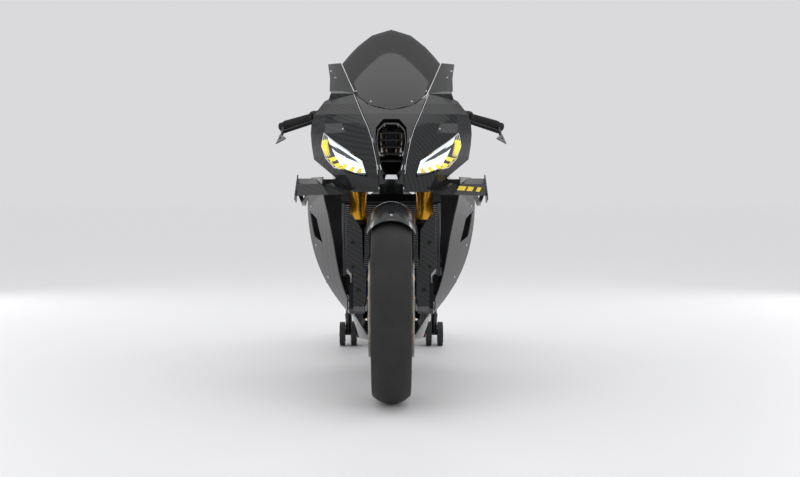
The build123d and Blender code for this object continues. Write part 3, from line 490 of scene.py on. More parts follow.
# %% Air and backdrop
AIR_STRENGTH = 0.88
MIRRORED_SHARE = 0.35
BACKDROP_COLOR = "#DADADC"

world = bpy.data.worlds.new("studio_air")
bpy.context.scene.world = world
world.use_nodes = True
sky = world.node_tree
sky.nodes.clear()
rays = add_node(sky, "LightPath")
mirrored = add_node(sky, "Math", {"operation": "MULTIPLY", 1: MIRRORED_SHARE}, [(0, rays, "Is Glossy Ray")])
seen = add_node(sky, "Math", {"operation": "MAXIMUM"}, [(0, rays, "Is Camera Ray"), (1, mirrored, 0)])
direct = add_node(sky, "Math", {"operation": "MAXIMUM"}, [(0, seen, 0), (1, rays, "Is Transmission Ray")])
air = add_node(sky, "Background", {"Color": hex_color("#FFFFFF"), "Strength": AIR_STRENGTH})
backdrop = add_node(sky, "Background", {"Color": hex_color(BACKDROP_COLOR), "Strength": 1.0})
choice = add_node(sky, "MixShader", (), [(0, direct, 0), (1, air, 0), (2, backdrop, 0)])
add_node(sky, "OutputWorld", (), [("Surface", choice, 0)])
print("air at", AIR_STRENGTH, "with a backdrop of", BACKDROP_COLOR)

# %% [markdown]
# Many of a fairing's details follow its skin: lamp elements, films, trims. Each starts as a flat outline in the front
# view. It is cut into strips both ways, every point is pushed back along the bike until it meets the skin, and the
# sheet then gets its thickness. A point that misses the skin goes as far back as the nearest point that meets it.

# %% Sheets that follow a skin
STRIP_MM = 8
skins = {name: skin(name) for name in ("headlight_lenses", "side_cowls", "winglets", "side_fairings", "windscreen",
                                       "front_mudguard", "belly_pan", "brake_ducts")}


def cut_into_strips(flat, axis):
    """Cuts a flat sheet across one axis every few millimetres, so that it can bend."""
    values = [v.co[axis] for v in flat.verts]
    point, normal = Vector(), Vector()
    normal[axis] = 1
    cut = min(values) + STRIP_MM * MM
    while cut < max(values) - 1 * MM:
        point[axis] = cut
        bmesh.ops.bisect_plane(flat, geom=flat.verts[:] + flat.edges[:] + flat.faces[:], dist=1e-6,
                               plane_co=point, plane_no=normal)
        cut += STRIP_MM * MM


def push_to_skin(flat, tree, depth):
    """Moves every point of a sheet to a depth behind a skin, in millimetres."""
    missed = []
    for vert in flat.verts:
        place, _ = seen_from_front(tree, vert.co.x, vert.co.z)
        if place is None:
            missed.append(vert)
        else:
            vert.co.y = place.y + depth * MM
    placed = [v for v in flat.verts if v not in missed]
    for vert in missed:
        near = min(placed, key=lambda v: (v.co.x - vert.co.x) ** 2 + (v.co.z - vert.co.z) ** 2)
        vert.co.y = near.co.y


def drape(work, outline, tree, depth, thickness, sides=(1, -1)):
    """Adds a sheet with an outline in the front view on one or both sides, all in millimetres."""
    for side in sides:
        flat = bmesh.new()
        flat.faces.new([flat.verts.new((x * side * MM, 0, z * MM)) for x, z in outline])
        for axis in (0, 2):
            cut_into_strips(flat, axis)
        push_to_skin(flat, tree, depth)
        bmesh.ops.recalc_face_normals(flat, faces=flat.faces)
        if sum(f.normal.y * f.calc_area() for f in flat.faces) > 0:
            bmesh.ops.reverse_faces(flat, faces=flat.faces)
        bmesh.ops.solidify(flat, geom=flat.faces[:], thickness=thickness * MM)
        part = bpy.data.meshes.new("part")
        flat.to_mesh(part)
        flat.free()
        work.from_mesh(part)
        bpy.data.meshes.remove(part)
    return work


# %% [markdown]
# Under the headlight's clear cover lie a broad lit blade and a dark housing over its middle, and above that a dark
# sheet of painted shade, where the lamp's slit lies in shadow.
# Each is draped a few millimetres behind the cover, the darker ones nearer to it, so that its gloss lies over them.

# %% Headlight blade, housing and slit
LAMP_SHEETS = (
    ("headlight_blades", lamp_white, "clear_lens", 8, 2,
     ((209, 824), (174, 797), (133, 769), (91, 742), (80, 704), (112, 706), (145, 718), (177, 729), (201, 755),
      (213, 791), (211, 806))),
    ("headlight_housings", black_plastic_and_painted_shade, "black_plastic", 6, 1.5,
     ((196, 798), (172, 783), (146, 766), (118, 748), (148, 758), (172, 771), (190, 786))),
    # The slit is painted shade: a dark sheet in black plastic's colour.
    ("headlight_slit_painted_shade", black_plastic_and_painted_shade, "black_plastic", 5, 2,
     ((176, 790), (112, 747), (96, 730), (106, 738), (140, 752))),
)
lamps = skins["headlight_lenses"]
for name, material, slot, depth, thickness, outline in LAMP_SHEETS:
    finish_piece(name, drape(bmesh.new(), outline, lamps, depth, thickness), material, "root", slot, 60)

# %% [markdown]
# Five yellow teeth stand along the headlight's lower edge, with a yellow stripe at its outer end. A walk along the
# edge gives each tooth its place and its heading, and the tooth leans inward from there.

# %% Headlight teeth
TOOTH_COUNT = 5
TOOTH_DEPTH, TOOTH_THICKNESS = 3.9, 2
TOOTH_TALL, TOOTH_FOOT, TOOTH_LEAN = 15, 15, 5
LOWER_EDGE = ((205, 758), (177, 729), (145, 718), (112, 706), (92, 704))
OUTER_STRIPE = ((205, 757), (209, 764), (219, 790), (217, 806), (211, 810), (213, 791))


def walk(points, share):
    """The point at a share of a polyline's length, and the direction there."""
    runs = [(Vector(b) - Vector(a)) for a, b in zip(points, points[1:])]
    left = share * sum(r.length for r in runs)
    for start, run in zip(points, runs):
        if left <= run.length + 1e-6:
            return Vector(start) + run.normalized() * left, run.normalized()
        left -= run.length
    return Vector(points[-1]), runs[-1].normalized()


teeth = bmesh.new()
for i in range(TOOTH_COUNT):
    place, run = walk(LOWER_EDGE, (i + 0.35) / TOOTH_COUNT)
    lean = Vector((run.y, -run.x)) * TOOTH_TALL + run * TOOTH_LEAN
    corners = [place, place + run * TOOTH_FOOT, place + run * 13 + lean, place + run * 4 + lean]
    drape(teeth, [tuple(c) for c in corners], lamps, TOOTH_DEPTH, TOOTH_THICKNESS)
drape(teeth, OUTER_STRIPE, lamps, TOOTH_DEPTH, TOOTH_THICKNESS)
finish_piece("headlight_teeth", teeth, lamp_yellow, "root", "clear_lens", 60)

# %% [markdown]
# A silver ramp leads air over the lower lip of the intake, and fine vanes stand behind it. The ramp is a bar with its
# upper front edge drawn back and its top made narrower, and the vanes are thin tilted blades.

# %% Intake ramp and vanes
RAMP_BACK, RAMP_Z = -6, 692
RAMP_SIZE = (0.040, 0.030, 0.014)
VANE_COUNT = 5
VANE_TILT = 0.35

ramp = bmesh.new()
for vert in add_block(ramp, spot(0, RAMP_BACK, RAMP_Z), RAMP_SIZE):
    if vert.co.z > RAMP_Z * MM:
        if vert.co.y < back(RAMP_BACK):
            vert.co.y += 0.016
        vert.co.x *= 0.8
bmesh.ops.bevel(ramp, geom=ramp.edges[:], offset=0.0015, offset_type="OFFSET", segments=2, profile=0.5,
                affect="EDGES", material=-1)
finish_piece("intake_ramp", ramp, silver_and_highlight_film, "root", "gloss_black")
vanes = bmesh.new()
for i in range(VANE_COUNT):
    add_block(vanes, spot(0, 26 + i * 6, 742 + i * 22), (0.060 + 0.004 * i, 0.018, 0.0016),
              Matrix.Rotation(VANE_TILT, 4, "X"))
finish_piece("intake_vanes", vanes, black_plastic_and_painted_shade, "root", "gloss_black")

# %% [markdown]
# A V of machined metal hangs under the outer end of each winglet, made of two flat legs that meet at its foot. Three
# slanted yellow bars lie on the left winglet. They are films of 0.4 mm that stand on the lacquer.

# %% Winglet tips and motif
TIP_TOPS, TIP_FOOT = ((267, 636), (288, 636)), (277, 606)
TIP_WIDE, TIP_DEEP = 0.0042, 0.014
BAR_WIDTHS = (24, 18, 12)
BAR_SLANT = 8

tips = bmesh.new()
for side in (1, -1):
    for x, z in TIP_TOPS:
        top, foot = spot(side * x, 148, z), spot(side * TIP_FOOT[0], 140, TIP_FOOT[1])
        add_block(tips, (top + foot) / 2, (TIP_WIDE, TIP_DEEP, (foot - top).length + 0.003), turn_to(foot - top))
finish_piece("winglet_tips", tips, machined, "root", "gloss_black", bevel=0.8)
motif = bmesh.new()
for i, width in enumerate(BAR_WIDTHS):
    x, drop = 206 + i * 30, i * 2
    outline = [(x, 652 - drop), (x + width, 651 - drop), (x + width + BAR_SLANT, 664 - drop),
               (x + BAR_SLANT, 666 - drop)]
    drape(motif, outline, skins["winglets"], -0.5, 0.4, sides=(1,))
finish_piece("winglet_motif", motif, yellow_film, "root", "gloss_black", 60)

# %% [markdown]
# Panels are held by button-head screws, turned to the normal of the skin where they stand. Rays from the front find
# the skin for the screws that face forward, and rays from the side for the three rows along the fairing.

# %% Panel screws
SCREW_HEIGHT = 0.0026
FRONT_SCREWS = (("side_cowls", 199, 1046, 4), ("side_cowls", 182, 1020, 3.4), ("windscreen", 150, 1038, 3.2),
                ("windscreen", 112, 968, 3.2), ("windscreen", 64, 930, 3.2), ("side_cowls", 150, 842, 3.4),
                ("side_cowls", 232, 720, 3.4), ("side_fairings", 236, 640, 4), ("side_fairings", 262, 600, 4),
                ("side_fairings", 250, 470, 4), ("side_fairings", 212, 360, 4))
SCREW_ROWS = (("belly_pan", 200), ("side_fairings", 340), ("side_fairings", 520), ("side_fairings", 660))
ROW_PLACES = (420, 560, 700)
INNERMOST_X = 0.09

screws = bmesh.new()
for name, x, z, radius in FRONT_SCREWS:
    for side in (1, -1):
        place, normal = seen_from_front(skins[name], x * side * MM, z * MM)
        if place is not None:
            add_bolt(screws, place, normal, radius * MM, SCREW_HEIGHT)
for name, height in SCREW_ROWS:
    for along in ROW_PLACES:
        for side in (1, -1):
            start = Vector((side, back(along), height * MM))
            place, normal, *_ = skins[name].ray_cast(start, Vector((-side, 0, 0)))
            if place is None or place.x * side < INNERMOST_X:
                continue
            add_bolt(screws, place, normal if normal.x * side > 0 else -normal, 0.004, SCREW_HEIGHT)
finish_piece("panel_screws", screws, machined, "root", "black_metal")
screw = bmesh.new()
add_bolt(screw, *seen_from_front(skins["front_mudguard"], 0, 0.578), 0.0045, 0.003)
finish_piece("mudguard_screw", screw, machined, "steering", "black_metal")

# %% [markdown]
# A radiator's face is a stack of flat tubes with folded fins between them. Tubes 2 mm thick stand 7 mm apart, and
# the fins are thin upright strips behind their fronts. A round tank closes each side.

# %% Radiator and cooler faces
TUBE_PITCH = 7.0
FIN_PITCH = 5


def radiator_face(work, centre, tilt_deg, width, height, depth):
    """Adds the flat tubes, the fins and the side tanks of one core, on its front face."""
    turn = Matrix.Rotation(math.radians(tilt_deg), 4, "X")
    front = centre + turn @ Vector((0, -depth / 2 * MM, 0))
    tubes = int((height - 12) / TUBE_PITCH)
    for i in range(tubes):
        up = (i - (tubes - 1) / 2) * TUBE_PITCH * MM
        add_block(work, front + turn @ Vector((0, -0.0012, up)), ((width - 16) * MM, 0.0028, 0.002), turn)
    fins = int((width - 20) / FIN_PITCH)
    for i in range(fins):
        across = (i - (fins - 1) / 2) * FIN_PITCH * MM
        place = front + turn @ Vector((across, -0.0006, 0))
        add_block(work, place, (0.0007, 0.0016, (height - 14) * MM), turn)
    for side in (1, -1):
        place = front + turn @ Vector((side * (width / 2 - 5) * MM, -0.002, 0))
        add_drum(work, place, turn @ Vector((0, 0, 1)), 0.006, (height - 4) * MM, 12)


cores = bmesh.new()
radiator_face(cores, spot(0, 352, 490), 8, 330, 250, 30)
radiator_face(cores, spot(0, 372, 300), 8, 200, 90, 26)
finish_piece("radiator_faces", cores, satin_alu, "root", "radiator_metal")

# %% [markdown]
# Black shrouds fill the room between the radiator and the fairings, so that air can't slip past the core. Each is a
# flat sheet cut to an outline in the front view, with a panel pressed back inside its rim.

# %% Radiator shrouds
SHROUD_BACK = 385
SHROUD_RIM, SHROUD_PRESS, SHROUD_THICKNESS = 0.007, 0.004, 0.0015
SHROUD_OUTLINE = ((168, 690), (256, 690), (269, 580), (262, 500), (230, 405), (174, 300), (112, 300), (112, 352),
                  (168, 366))
shroud = bmesh.new()
for side in (1, -1):
    sheet = shroud.faces.new([shroud.verts.new(spot(side * x, SHROUD_BACK, z)) for x, z in SHROUD_OUTLINE])
    bmesh.ops.inset_individual(shroud, faces=[sheet], thickness=SHROUD_RIM, depth=0.0)
    bmesh.ops.translate(shroud, verts=sheet.verts, vec=(0, SHROUD_PRESS, 0))
bmesh.ops.recalc_face_normals(shroud, faces=shroud.faces)
bmesh.ops.solidify(shroud, geom=shroud.faces[:], thickness=SHROUD_THICKNESS)
finish_piece("radiator_shrouds", shroud, black_plastic_and_painted_shade, "root", "black_plastic", 30)

# %% [markdown]
# The instrument is a slim display on a ribbed back plate with four screws. The display faces the saddle, with an arc
# of dial marks and plain bars that say nothing. A turned frame of its own keeps the sums short.

# %% Instrument
DASH_TURN = Matrix.Rotation(math.radians(-38), 4, "X")
DASH_AT = spot(0, 302, 984)
RIB_COUNT, RIB_PITCH = 9, 13
DIAL_MARKS, DIAL_PITCH = 14, 7


def on_dash(x, y, z):
    """A place in the instrument's own frame, in millimetres."""
    return DASH_AT + DASH_TURN @ Vector((x * MM, y * MM, z * MM))


plate = bmesh.new()
add_block(plate, on_dash(0, 0, -9.5), (0.132, 0.048, 0.003), DASH_TURN)
for i in range(RIB_COUNT):
    add_block(plate, on_dash((i - 4) * RIB_PITCH, 0, -12), (0.003, 0.040, 0.004), DASH_TURN)
for x, y in ((56, 20), (56, -20), (-56, 20), (-56, -20)):
    add_bolt(plate, on_dash(x, y, -11), DASH_TURN @ Vector((0, 0, -1)), 0.0045, 0.003)
finish_piece("dash_back_plate", plate, black_plastic_and_painted_shade, "root", "black_plastic", bevel=0.5)
glass = bmesh.new()
add_block(glass, on_dash(0, 0, 8.6), (0.138, 0.052, 0.0012), DASH_TURN)
display_glass = plain("dark_display_glass", "#0B1016", 0.08, 3.0, 0.005, 1.0, 0.02)
finish_piece("dash_display", glass, display_glass, "root", "black_plastic", bevel=0.3)
marks = bmesh.new()
for i in range(DIAL_MARKS):
    add_block(marks, on_dash(-52 + i * DIAL_PITCH, 12 - 0.06 * (i - 7) ** 2, 9.5), (0.004, 0.008, 0.0004), DASH_TURN)
for i in range(4):
    add_block(marks, on_dash(38, 14 - i * 9, 9.5), (0.030 - 0.004 * i, 0.003, 0.0004), DASH_TURN)
finish_piece("dash_marks", marks, glow("lit_display_marks", "#BFD4E2", 0.7), "root", "black_plastic")

# %% [markdown]
# The fork: a preload hex and a blue adjuster stand on each cap, the collar ends in a dust seal, and pinch bolts close
# both clamps. All of them lie on the fork's own line, which leans back with the steering axis.

# %% Fork details
LEAN = STEER_AXIS.normalized()
CROSS = Vector((0, LEAN.z, -LEAN.y))
TRAIL = 0.1
FORK_OFFSET_MM = 30.7
FORK_X = 105
FORK_TOP, COLLAR_FOOT = 1006.5, 584
CLAMP_MIDDLES = (748.5, 960.5)
CLAMP_FACE_X = 142


def on_fork(x_mm, along_mm, ahead_mm=0.0):
    """A place in the plane of the fork legs, across and up the fork, in metres."""
    start = Vector((0, FRONT.y - TRAIL, 0)) + LEAN * along_mm * MM
    return start + CROSS * (-FORK_OFFSET_MM - ahead_mm) * MM + Vector((x_mm * MM, 0, 0))


caps = bmesh.new()
adjusters = bmesh.new()
seals = bmesh.new()
bolts = bmesh.new()
for side in (1, -1):
    add_drum(caps, on_fork(side * FORK_X, FORK_TOP + 4), LEAN, 0.0235, 0.006, 32, 0.021)
    add_drum(adjusters, on_fork(side * FORK_X, FORK_TOP + 9), LEAN, 0.0115, 0.008, 6)
    add_drum(adjusters, on_fork(side * FORK_X, FORK_TOP + 14), LEAN, 0.006, 0.005, 16, 0.005)
    add_drum(seals, on_fork(side * FORK_X, COLLAR_FOOT), LEAN, 0.0262, 0.008, 40, 0.0285)
    add_drum(seals, on_fork(side * FORK_X, COLLAR_FOOT - 7), LEAN, 0.0235, 0.006, 40, 0.0262)
    for along in CLAMP_MIDDLES:
        for ahead in (-6, 6):
            add_bolt(bolts, on_fork(side * CLAMP_FACE_X, along, ahead), Vector((side, 0, 0)), 0.0052, 0.004)
finish_piece("fork_caps", caps, black_alu, "steering", "fork_gold", bevel=0.6)
finish_piece("fork_adjusters", adjusters, blue_anodised, "steering", "fork_gold", bevel=0.4)
finish_piece("fork_seals", seals, grip_rubber, "steering", "grip_rubber")
finish_piece("clamp_bolts", bolts, steel, "steering", "steel")

# %% [markdown]
# Twelve gold bobbins float each front disc on its carrier, and five screws hold the carrier to the hub. A bobbin is
# two short drums along the axle. The rear disc and the rear sprocket have plain screws in a ring.

# %% Disc bobbins and wheel bolts
BOBBIN_COUNT, BOBBIN_RING = 12, 0.121

bobbins = bmesh.new()
for side in (1, -1):
    for place in ring_of((side * 0.066, FRONT.y, FRONT.z), BOBBIN_RING, BOBBIN_COUNT, 0.26):
        add_drum(bobbins, place, (1, 0, 0), 0.0075, 0.0078, 16)
        add_drum(bobbins, place, (1, 0, 0), 0.0042, 0.0092, 12)
    for place in ring_of((side * 0.0692, FRONT.y, FRONT.z), 0.052, 5, 0.1):
        add_bolt(bobbins, place, (side, 0, 0), 0.0055, 0.0035)
finish_piece("front_disc_bobbins", bobbins, gold, "front_wheel", "disc_steel")
wheel_bolts = bmesh.new()
for place in ring_of((-0.0948, REAR.y, REAR.z), 0.064, 6, 0.2):
    add_bolt(wheel_bolts, place, (-1, 0, 0), 0.006, 0.004)
for place in ring_of((0.1178, REAR.y, REAR.z), 0.045, 5, 0.3):
    add_bolt(wheel_bolts, place, (1, 0, 0), 0.0065, 0.005)
finish_piece("rear_wheel_bolts", wheel_bolts, steel, "rear_wheel", "disc_steel")

# %% [markdown]
# Every front caliper has two piston caps, two bolts, a bleed nipple and a pad plate, and the axle ends in a hex.

# %% Caliper and axle caps
CALIPER_X = 100.5
PISTONS_Z, CALIPER_BOLTS_Z = (338, 382), (318, 402)

caliper_parts = bmesh.new()
axle_ends = bmesh.new()
for side in (1, -1):
    for z in PISTONS_Z:
        add_drum(caliper_parts, spot(side * CALIPER_X, 131, z), (1, 0, 0), 0.0165, 0.004, 28, 0.0155)
        add_drum(caliper_parts, spot(side * (CALIPER_X + 1.6), 131, z), (1, 0, 0), 0.011, 0.003, 24)
    for z in CALIPER_BOLTS_Z:
        add_bolt(caliper_parts, spot(side * (CALIPER_X - 8), 152.5, z), (0, 1, 0), 0.007, 0.006)
    add_drum(caliper_parts, spot(side * 92, 134, 411), (0, 0, 1), 0.003, 0.012, 10)
    add_block(caliper_parts, spot(side * 66, 152.6, 360), (0.034, 0.002, 0.066))
    add_drum(axle_ends, (side * 0.1335, FRONT.y, FRONT.z), (1, 0, 0), 0.0185, 0.003, 6)
finish_piece("caliper_caps", caliper_parts, black_alu, "steering", "caliper_blue", bevel=0.5)
finish_piece("front_axle_caps", axle_ends, black_alu, "steering", "steel", bevel=0.6)

# %% [markdown]
# Bars: each grip is ribbed rubber, made of thin rings along the bar's line, with a weight at its end. A switch block
# with three buttons sits inboard of it, and the clutch lever's adjuster is an orange knob.

# %% Grips, knob and switches
BAR_ROOT = (132, 268, 920)
BAR_END = (362, 412, 869)
RIB_RINGS, RING_SHARE = 19, 0.0215


def along_bar(side, share, forward=0.0, up=0.0):
    """A place at a share of the bar's length, moved forward and up in millimetres."""
    x, y, z = (BAR_ROOT[i] + (BAR_END[i] - BAR_ROOT[i]) * share for i in range(3))
    return spot(side * x, y - forward, z + up)


ribs = bmesh.new()
switches = bmesh.new()
for side in (1, -1):
    line = (along_bar(side, 1) - along_bar(side, 0)).normalized()
    for i in range(RIB_RINGS):
        add_drum(ribs, along_bar(side, 0.575 + i * RING_SHARE), line, 0.0182, 0.0028, 28)
    switch_turn = line.to_track_quat("X", "Z").to_matrix().to_4x4()
    add_block(switches, along_bar(side, 0.475, 1, 2), (0.024, 0.034, 0.034), switch_turn)
    for i in range(3):
        add_block(switches, along_bar(side, 0.462 + i * 0.016, -16, 8 - i * 8), (0.009, 0.007, 0.006), switch_turn)
    add_drum(switches, along_bar(side, 1.045), line, 0.0135, 0.012, 28, 0.010)
finish_piece("grip_ribs", ribs, grip_rubber, "steering", "grip_rubber")
finish_piece("bar_switches", switches, black_plastic_and_painted_shade, "steering", "black_plastic", bevel=1.2)
knob = bmesh.new()
add_drum(knob, along_bar(1, 0.335, 34, 6), (0, 0.2, 1), 0.008, 0.012, 14)
finish_piece("lever_adjuster", knob, orange_alu, "steering", "black_metal", bevel=0.6)

# %% [markdown]
# Paddock stand: a blue cap closes the axle block on the right and a red one on the left, so that its sides aren't
# mixed up. A hub cap in a ring of six bosses closes both faces of each wheel.

# %% Stand details
STAND_BACK = 1404

for side, material, name in ((-1, blue_anodised, "stand_cap_right"), (1, red_anodised, "stand_cap_left")):
    cap = bmesh.new()
    add_drum(cap, spot(side * 140, STAND_BACK, 60), (1, 0, 0), 0.026, 0.008, 40)
    add_drum(cap, spot(side * 135, STAND_BACK, 60), (1, 0, 0), 0.0125, 0.006)
    add_drum(cap, spot(side * 182, 1436, 276), (0, 0.3, 1), 0.009, 0.016, 20)
    finish_piece(name, cap, material, "root", "stand_steel", bevel=0.8)
for side, name in ((1, "left"), (-1, "right")):
    hubs = bmesh.new()
    for x in (158, 206):
        for face in (1, -1):
            middle = spot(side * x + face * 11.4, STAND_BACK, 50)
            add_drum(hubs, middle, (face, 0, 0), 0.021, 0.0024, 32, 0.019)
            for place in ring_of(middle, 0.034, 6):
                add_drum(hubs, place, (1, 0, 0), 0.0045, 0.0022, 12)
    finish_piece("stand_hubs_" + name, hubs, satin_alu, "stand_wheels_" + name, "wheel_plastic")

# %% [markdown]
# The saddle is a thin foam pad under a stitched cover. A copy of its solid, drawn in a little to leave room, gets an
# even grid of small faces from a voxel remesh, and smoothing rounds its edges.

# %% Saddle form
DRAWN_IN = 0.975
VOXEL = 0.005
ROUNDING_STEPS = 8

saddle_mesh = frame["nodes"]["seat_pad"].data.copy()
work = bmesh.new()
work.from_mesh(saddle_mesh)
bmesh.ops.remove_doubles(work, verts=work.verts, dist=1e-5)
middle = sum((v.co for v in work.verts), Vector()) / len(work.verts)
for vert in work.verts:
    vert.co = middle + (vert.co - middle) * DRAWN_IN
work.to_mesh(saddle_mesh)
work.free()
saddle = bpy.data.objects.new("saddle_cushion", saddle_mesh)
bpy.context.scene.collection.objects.link(saddle)
bpy.context.view_layer.objects.active = saddle


def bake_modifiers(piece):
    """Keeps what the live modifiers make as the piece's own mesh."""
    graph = bpy.context.evaluated_depsgraph_get()
    made = bpy.data.meshes.new_from_object(piece.evaluated_get(graph))
    piece.modifiers.clear()
    piece.data = made


remesh = saddle.modifiers.new("even_grid", "REMESH")
remesh.mode = "VOXEL"
remesh.voxel_size = VOXEL
relax = saddle.modifiers.new("round_edges", "SMOOTH")
relax.iterations = ROUNDING_STEPS
bake_modifiers(saddle)
print("saddle points", len(saddle.data.vertices))

# %% [markdown]
# Foam pushes the cover outward. A cloth simulation under pressure, without gravity, gives it that fullness, and each
# point's movement is capped, so that the pad keeps its size.

# %% Saddle fullness
CLOTH_STEPS = 14
PRESSURE = 4
SWELL_CAP = 0.005

start = [v.co.copy() for v in saddle.data.vertices]
cloth = saddle.modifiers.new("inflate", "CLOTH")
cloth.settings.use_pressure = True
cloth.settings.uniform_pressure_force = PRESSURE
cloth.settings.effector_weights.gravity = 0
cloth.settings.quality = 4
for step in range(1, CLOTH_STEPS + 1):
    bpy.context.scene.frame_set(step)
bake_modifiers(saddle)
bpy.context.scene.frame_set(1)
for vert, old in zip(saddle.data.vertices, start):
    move = vert.co - old
    if move.length > SWELL_CAP:
        vert.co = old + move.normalized() * SWELL_CAP
print("largest swell", round(max((v.co - s).length for v, s in zip(saddle.data.vertices, start)), 4), "m")

# %% [markdown]
# Two stitched seams run along the top. They are pressed in last, because remeshing would remove them. The cushion
# then takes the solid pad's place.

# %% Saddle seams
SEAM_X, SEAM_HALF, SEAM_DEEP = 0.062, 0.007, 0.0028
UPWARD = 0.4

for vert in saddle.data.vertices:
    gap = abs(abs(vert.co.x) - SEAM_X)
    if vert.normal.z >= UPWARD and gap < SEAM_HALF:
        vert.co.z -= SEAM_DEEP * (1 - gap / SEAM_HALF)
saddle.data.materials.clear()
saddle.data.materials.append(seat_leather)
saddle.data.shade_smooth()
fine = saddle.modifiers.new("fine", "SUBSURF")
fine.levels = fine.render_levels = 1
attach(saddle, "root")
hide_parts("seat_pad")
print("saddle size", [round(v, 3) for v in saddle.dimensions])

# %% [markdown]
# A roller chain is two kinds of link on pins 15.9 mm apart. The loop runs straight between the sprockets and round
# both, so a walk along it gives each pin's place. The loop is first drawn as many short runs: two straights, where
# the radius grows from one sprocket's to the other's, and two arcs.

# %% Chain loop
PITCH = 15.875
FRONT_SPROCKET = (748, 398, 35 + 8.5)
REAR_SPROCKET = (1457, 346, 92 + 8.5)
STRAIGHT_RUNS, REAR_RUNS, FRONT_RUNS = 240, 120, 80


def chain_loop():
    """Closely spaced points round the whole loop, back and up in millimetres."""
    (y1, z1, r1), (y2, z2, r2) = FRONT_SPROCKET, REAR_SPROCKET
    length = math.hypot(y2 - y1, z2 - z1)
    heading = math.atan2(z2 - z1, y2 - y1)
    lean = math.asin((r2 - r1) / length)
    up, down = heading + math.pi / 2 + lean, heading - math.pi / 2 - lean

    def between(share, turn):
        radius = r1 + (r2 - r1) * share
        return y1 + (y2 - y1) * share + radius * math.cos(turn), z1 + (z2 - z1) * share + radius * math.sin(turn)

    points = [between(i / STRAIGHT_RUNS, up) for i in range(STRAIGHT_RUNS + 1)]
    points += [between(1, up + (down - up) * i / REAR_RUNS) for i in range(1, REAR_RUNS)]
    points += [between(1 - i / STRAIGHT_RUNS, down) for i in range(STRAIGHT_RUNS + 1)]
    points += [between(0, down - (math.tau - (up - down)) * i / FRONT_RUNS) for i in range(1, FRONT_RUNS)]
    return points + points[:1]


def chain_pins(points):
    """Evenly spaced places along the loop, an even number of them, about one pitch apart."""
    total = sum(math.dist(a, b) for a, b in zip(points, points[1:]))
    count = round(total / PITCH / 2) * 2
    pins, reach, walked = [], 0.0, 0.0
    for a, b in zip(points, points[1:]):
        run = math.dist(a, b)
        while len(pins) < count and reach <= walked + run + 1e-9:
            share = (reach - walked) / run if run else 0
            pins.append((a[0] + (b[0] - a[0]) * share, a[1] + (b[1] - a[1]) * share))
            reach += total / count
        walked += run
    return pins


pins = chain_pins(chain_loop())
print("chain links", len(pins))

# %% [markdown]
# Every link is a pair of six-sided plates, drawn out along the chain, and a pin. Outer and inner plates take turns.
# The faces are few, because there are over a hundred links. The chain then stands for the plain loop.

# %% Chain links
CHAIN_X = 114
PLATE_SIDES = 6
PLATE_STRETCH = 1.1
INNER_PLATE_X, OUTER_PLATE_X = 0.0056, 0.0074

chain = bmesh.new()
for i, (a, b) in enumerate(zip(pins, pins[1:] + pins[:1])):
    start, end = spot(CHAIN_X, *a), spot(CHAIN_X, *b)
    centre, along = (start + end) / 2, (end - start).normalized()
    for side in (1, -1):
        offset = OUTER_PLATE_X if i % 2 else INNER_PLATE_X
        add_drum(chain, centre + Vector((side * offset, 0, 0)), (1, 0, 0), 0.0058, 0.0013, PLATE_SIDES)
        for vert in chain.verts[-2 * PLATE_SIDES:]:
            vert.co += along * (vert.co - centre).dot(along) * PLATE_STRETCH
    add_drum(chain, start, (1, 0, 0), 0.0034, 0.0168, 6)
roller_chain = finish_piece("roller_chain", chain, chain_metal, "root", "chain_steel", 30)
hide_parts("drive_chain")

# %% [markdown]
# The shock's spring is a round wire wound about its body: a circle spun round the shock's line while it climbs.

# %% Shock spring
SPRING_TURNS, TURN_STEPS = 6, 24
SPRING_R, WIRE_R = 0.0345, 0.0052
SPRING_HALF = 0.068

spring = bmesh.new()
profile = bmesh.ops.create_circle(spring, cap_ends=False, segments=12, radius=WIRE_R,
                                  matrix=Matrix.Rotation(math.pi / 2, 4, "X"))
for vert in profile["verts"]:
    vert.co += Vector((SPRING_R, 0, -SPRING_HALF))
steps = SPRING_TURNS * TURN_STEPS
bmesh.ops.spin(spring, geom=spring.verts[:] + spring.edges[:], cent=(0, 0, 0), axis=(0, 0, 1),
               dvec=(0, 0, 2 * SPRING_HALF / steps), angle=math.tau * SPRING_TURNS, steps=steps, use_merge=False,
               use_duplicate=False)
bmesh.ops.holes_fill(spring, edges=[e for e in spring.edges if e.is_boundary], sides=0)
shock_place = Matrix.Translation(spot(0, 940, 550)) @ Matrix.Rotation(math.radians(-10), 4, "X")
bmesh.ops.transform(spring, matrix=shock_place, verts=spring.verts)
finish_piece("shock_spring", spring, gold, "root", "steel")

# %% [markdown]
# The silencer ends in a rolled rim round a dark disc of painted shade, which stands for the shadow in the open pipe,
# with a band and its clamp in front of it.

# %% Silencer end
CAN_END = spot(-222, 1300, 462)
CAN_LINE = Vector((-0.03, 1, 0.39)).normalized()
BAND_AT = spot(-222, 1240, 438)

rim = bmesh.new()
for radius, depth, push in ((0.0386, 0.010, -0.003), (0.031, 0.006, 0.003)):
    add_drum(rim, CAN_END + CAN_LINE * push, CAN_LINE, radius, depth, 48, radius - 0.0012)
finish_piece("silencer_rim", rim, black_alu, "root", "titanium", bevel=0.6)
# The outlet is a dark disc of painted shade across the pipe's bore.
pipe = bmesh.new()
add_drum(pipe, CAN_END + CAN_LINE * 0.0062, CAN_LINE, 0.0235, 0.0014, 40)
finish_piece("silencer_outlet", pipe, plain("painted_shade_pipe_bore", "#070707", 0.9, 1.0, 0.3), "root", "titanium")
band = bmesh.new()
add_drum(band, BAND_AT, CAN_LINE, 0.0492, 0.020, 56)
add_drum(band, BAND_AT + Vector((0.046, 0, 0.018)), CAN_LINE, 0.005, 0.024, 12)
finish_piece("silencer_band", band, black_alu, "root", "titanium", bevel=0.5)

# %% [markdown]
# Small parts that a rider would miss: screws round the filler cap, its lock with a key grip, and a grid of lit dots
# in the tail lamp.

# %% Tank cap and tail lamp
CAP_BACK = 560

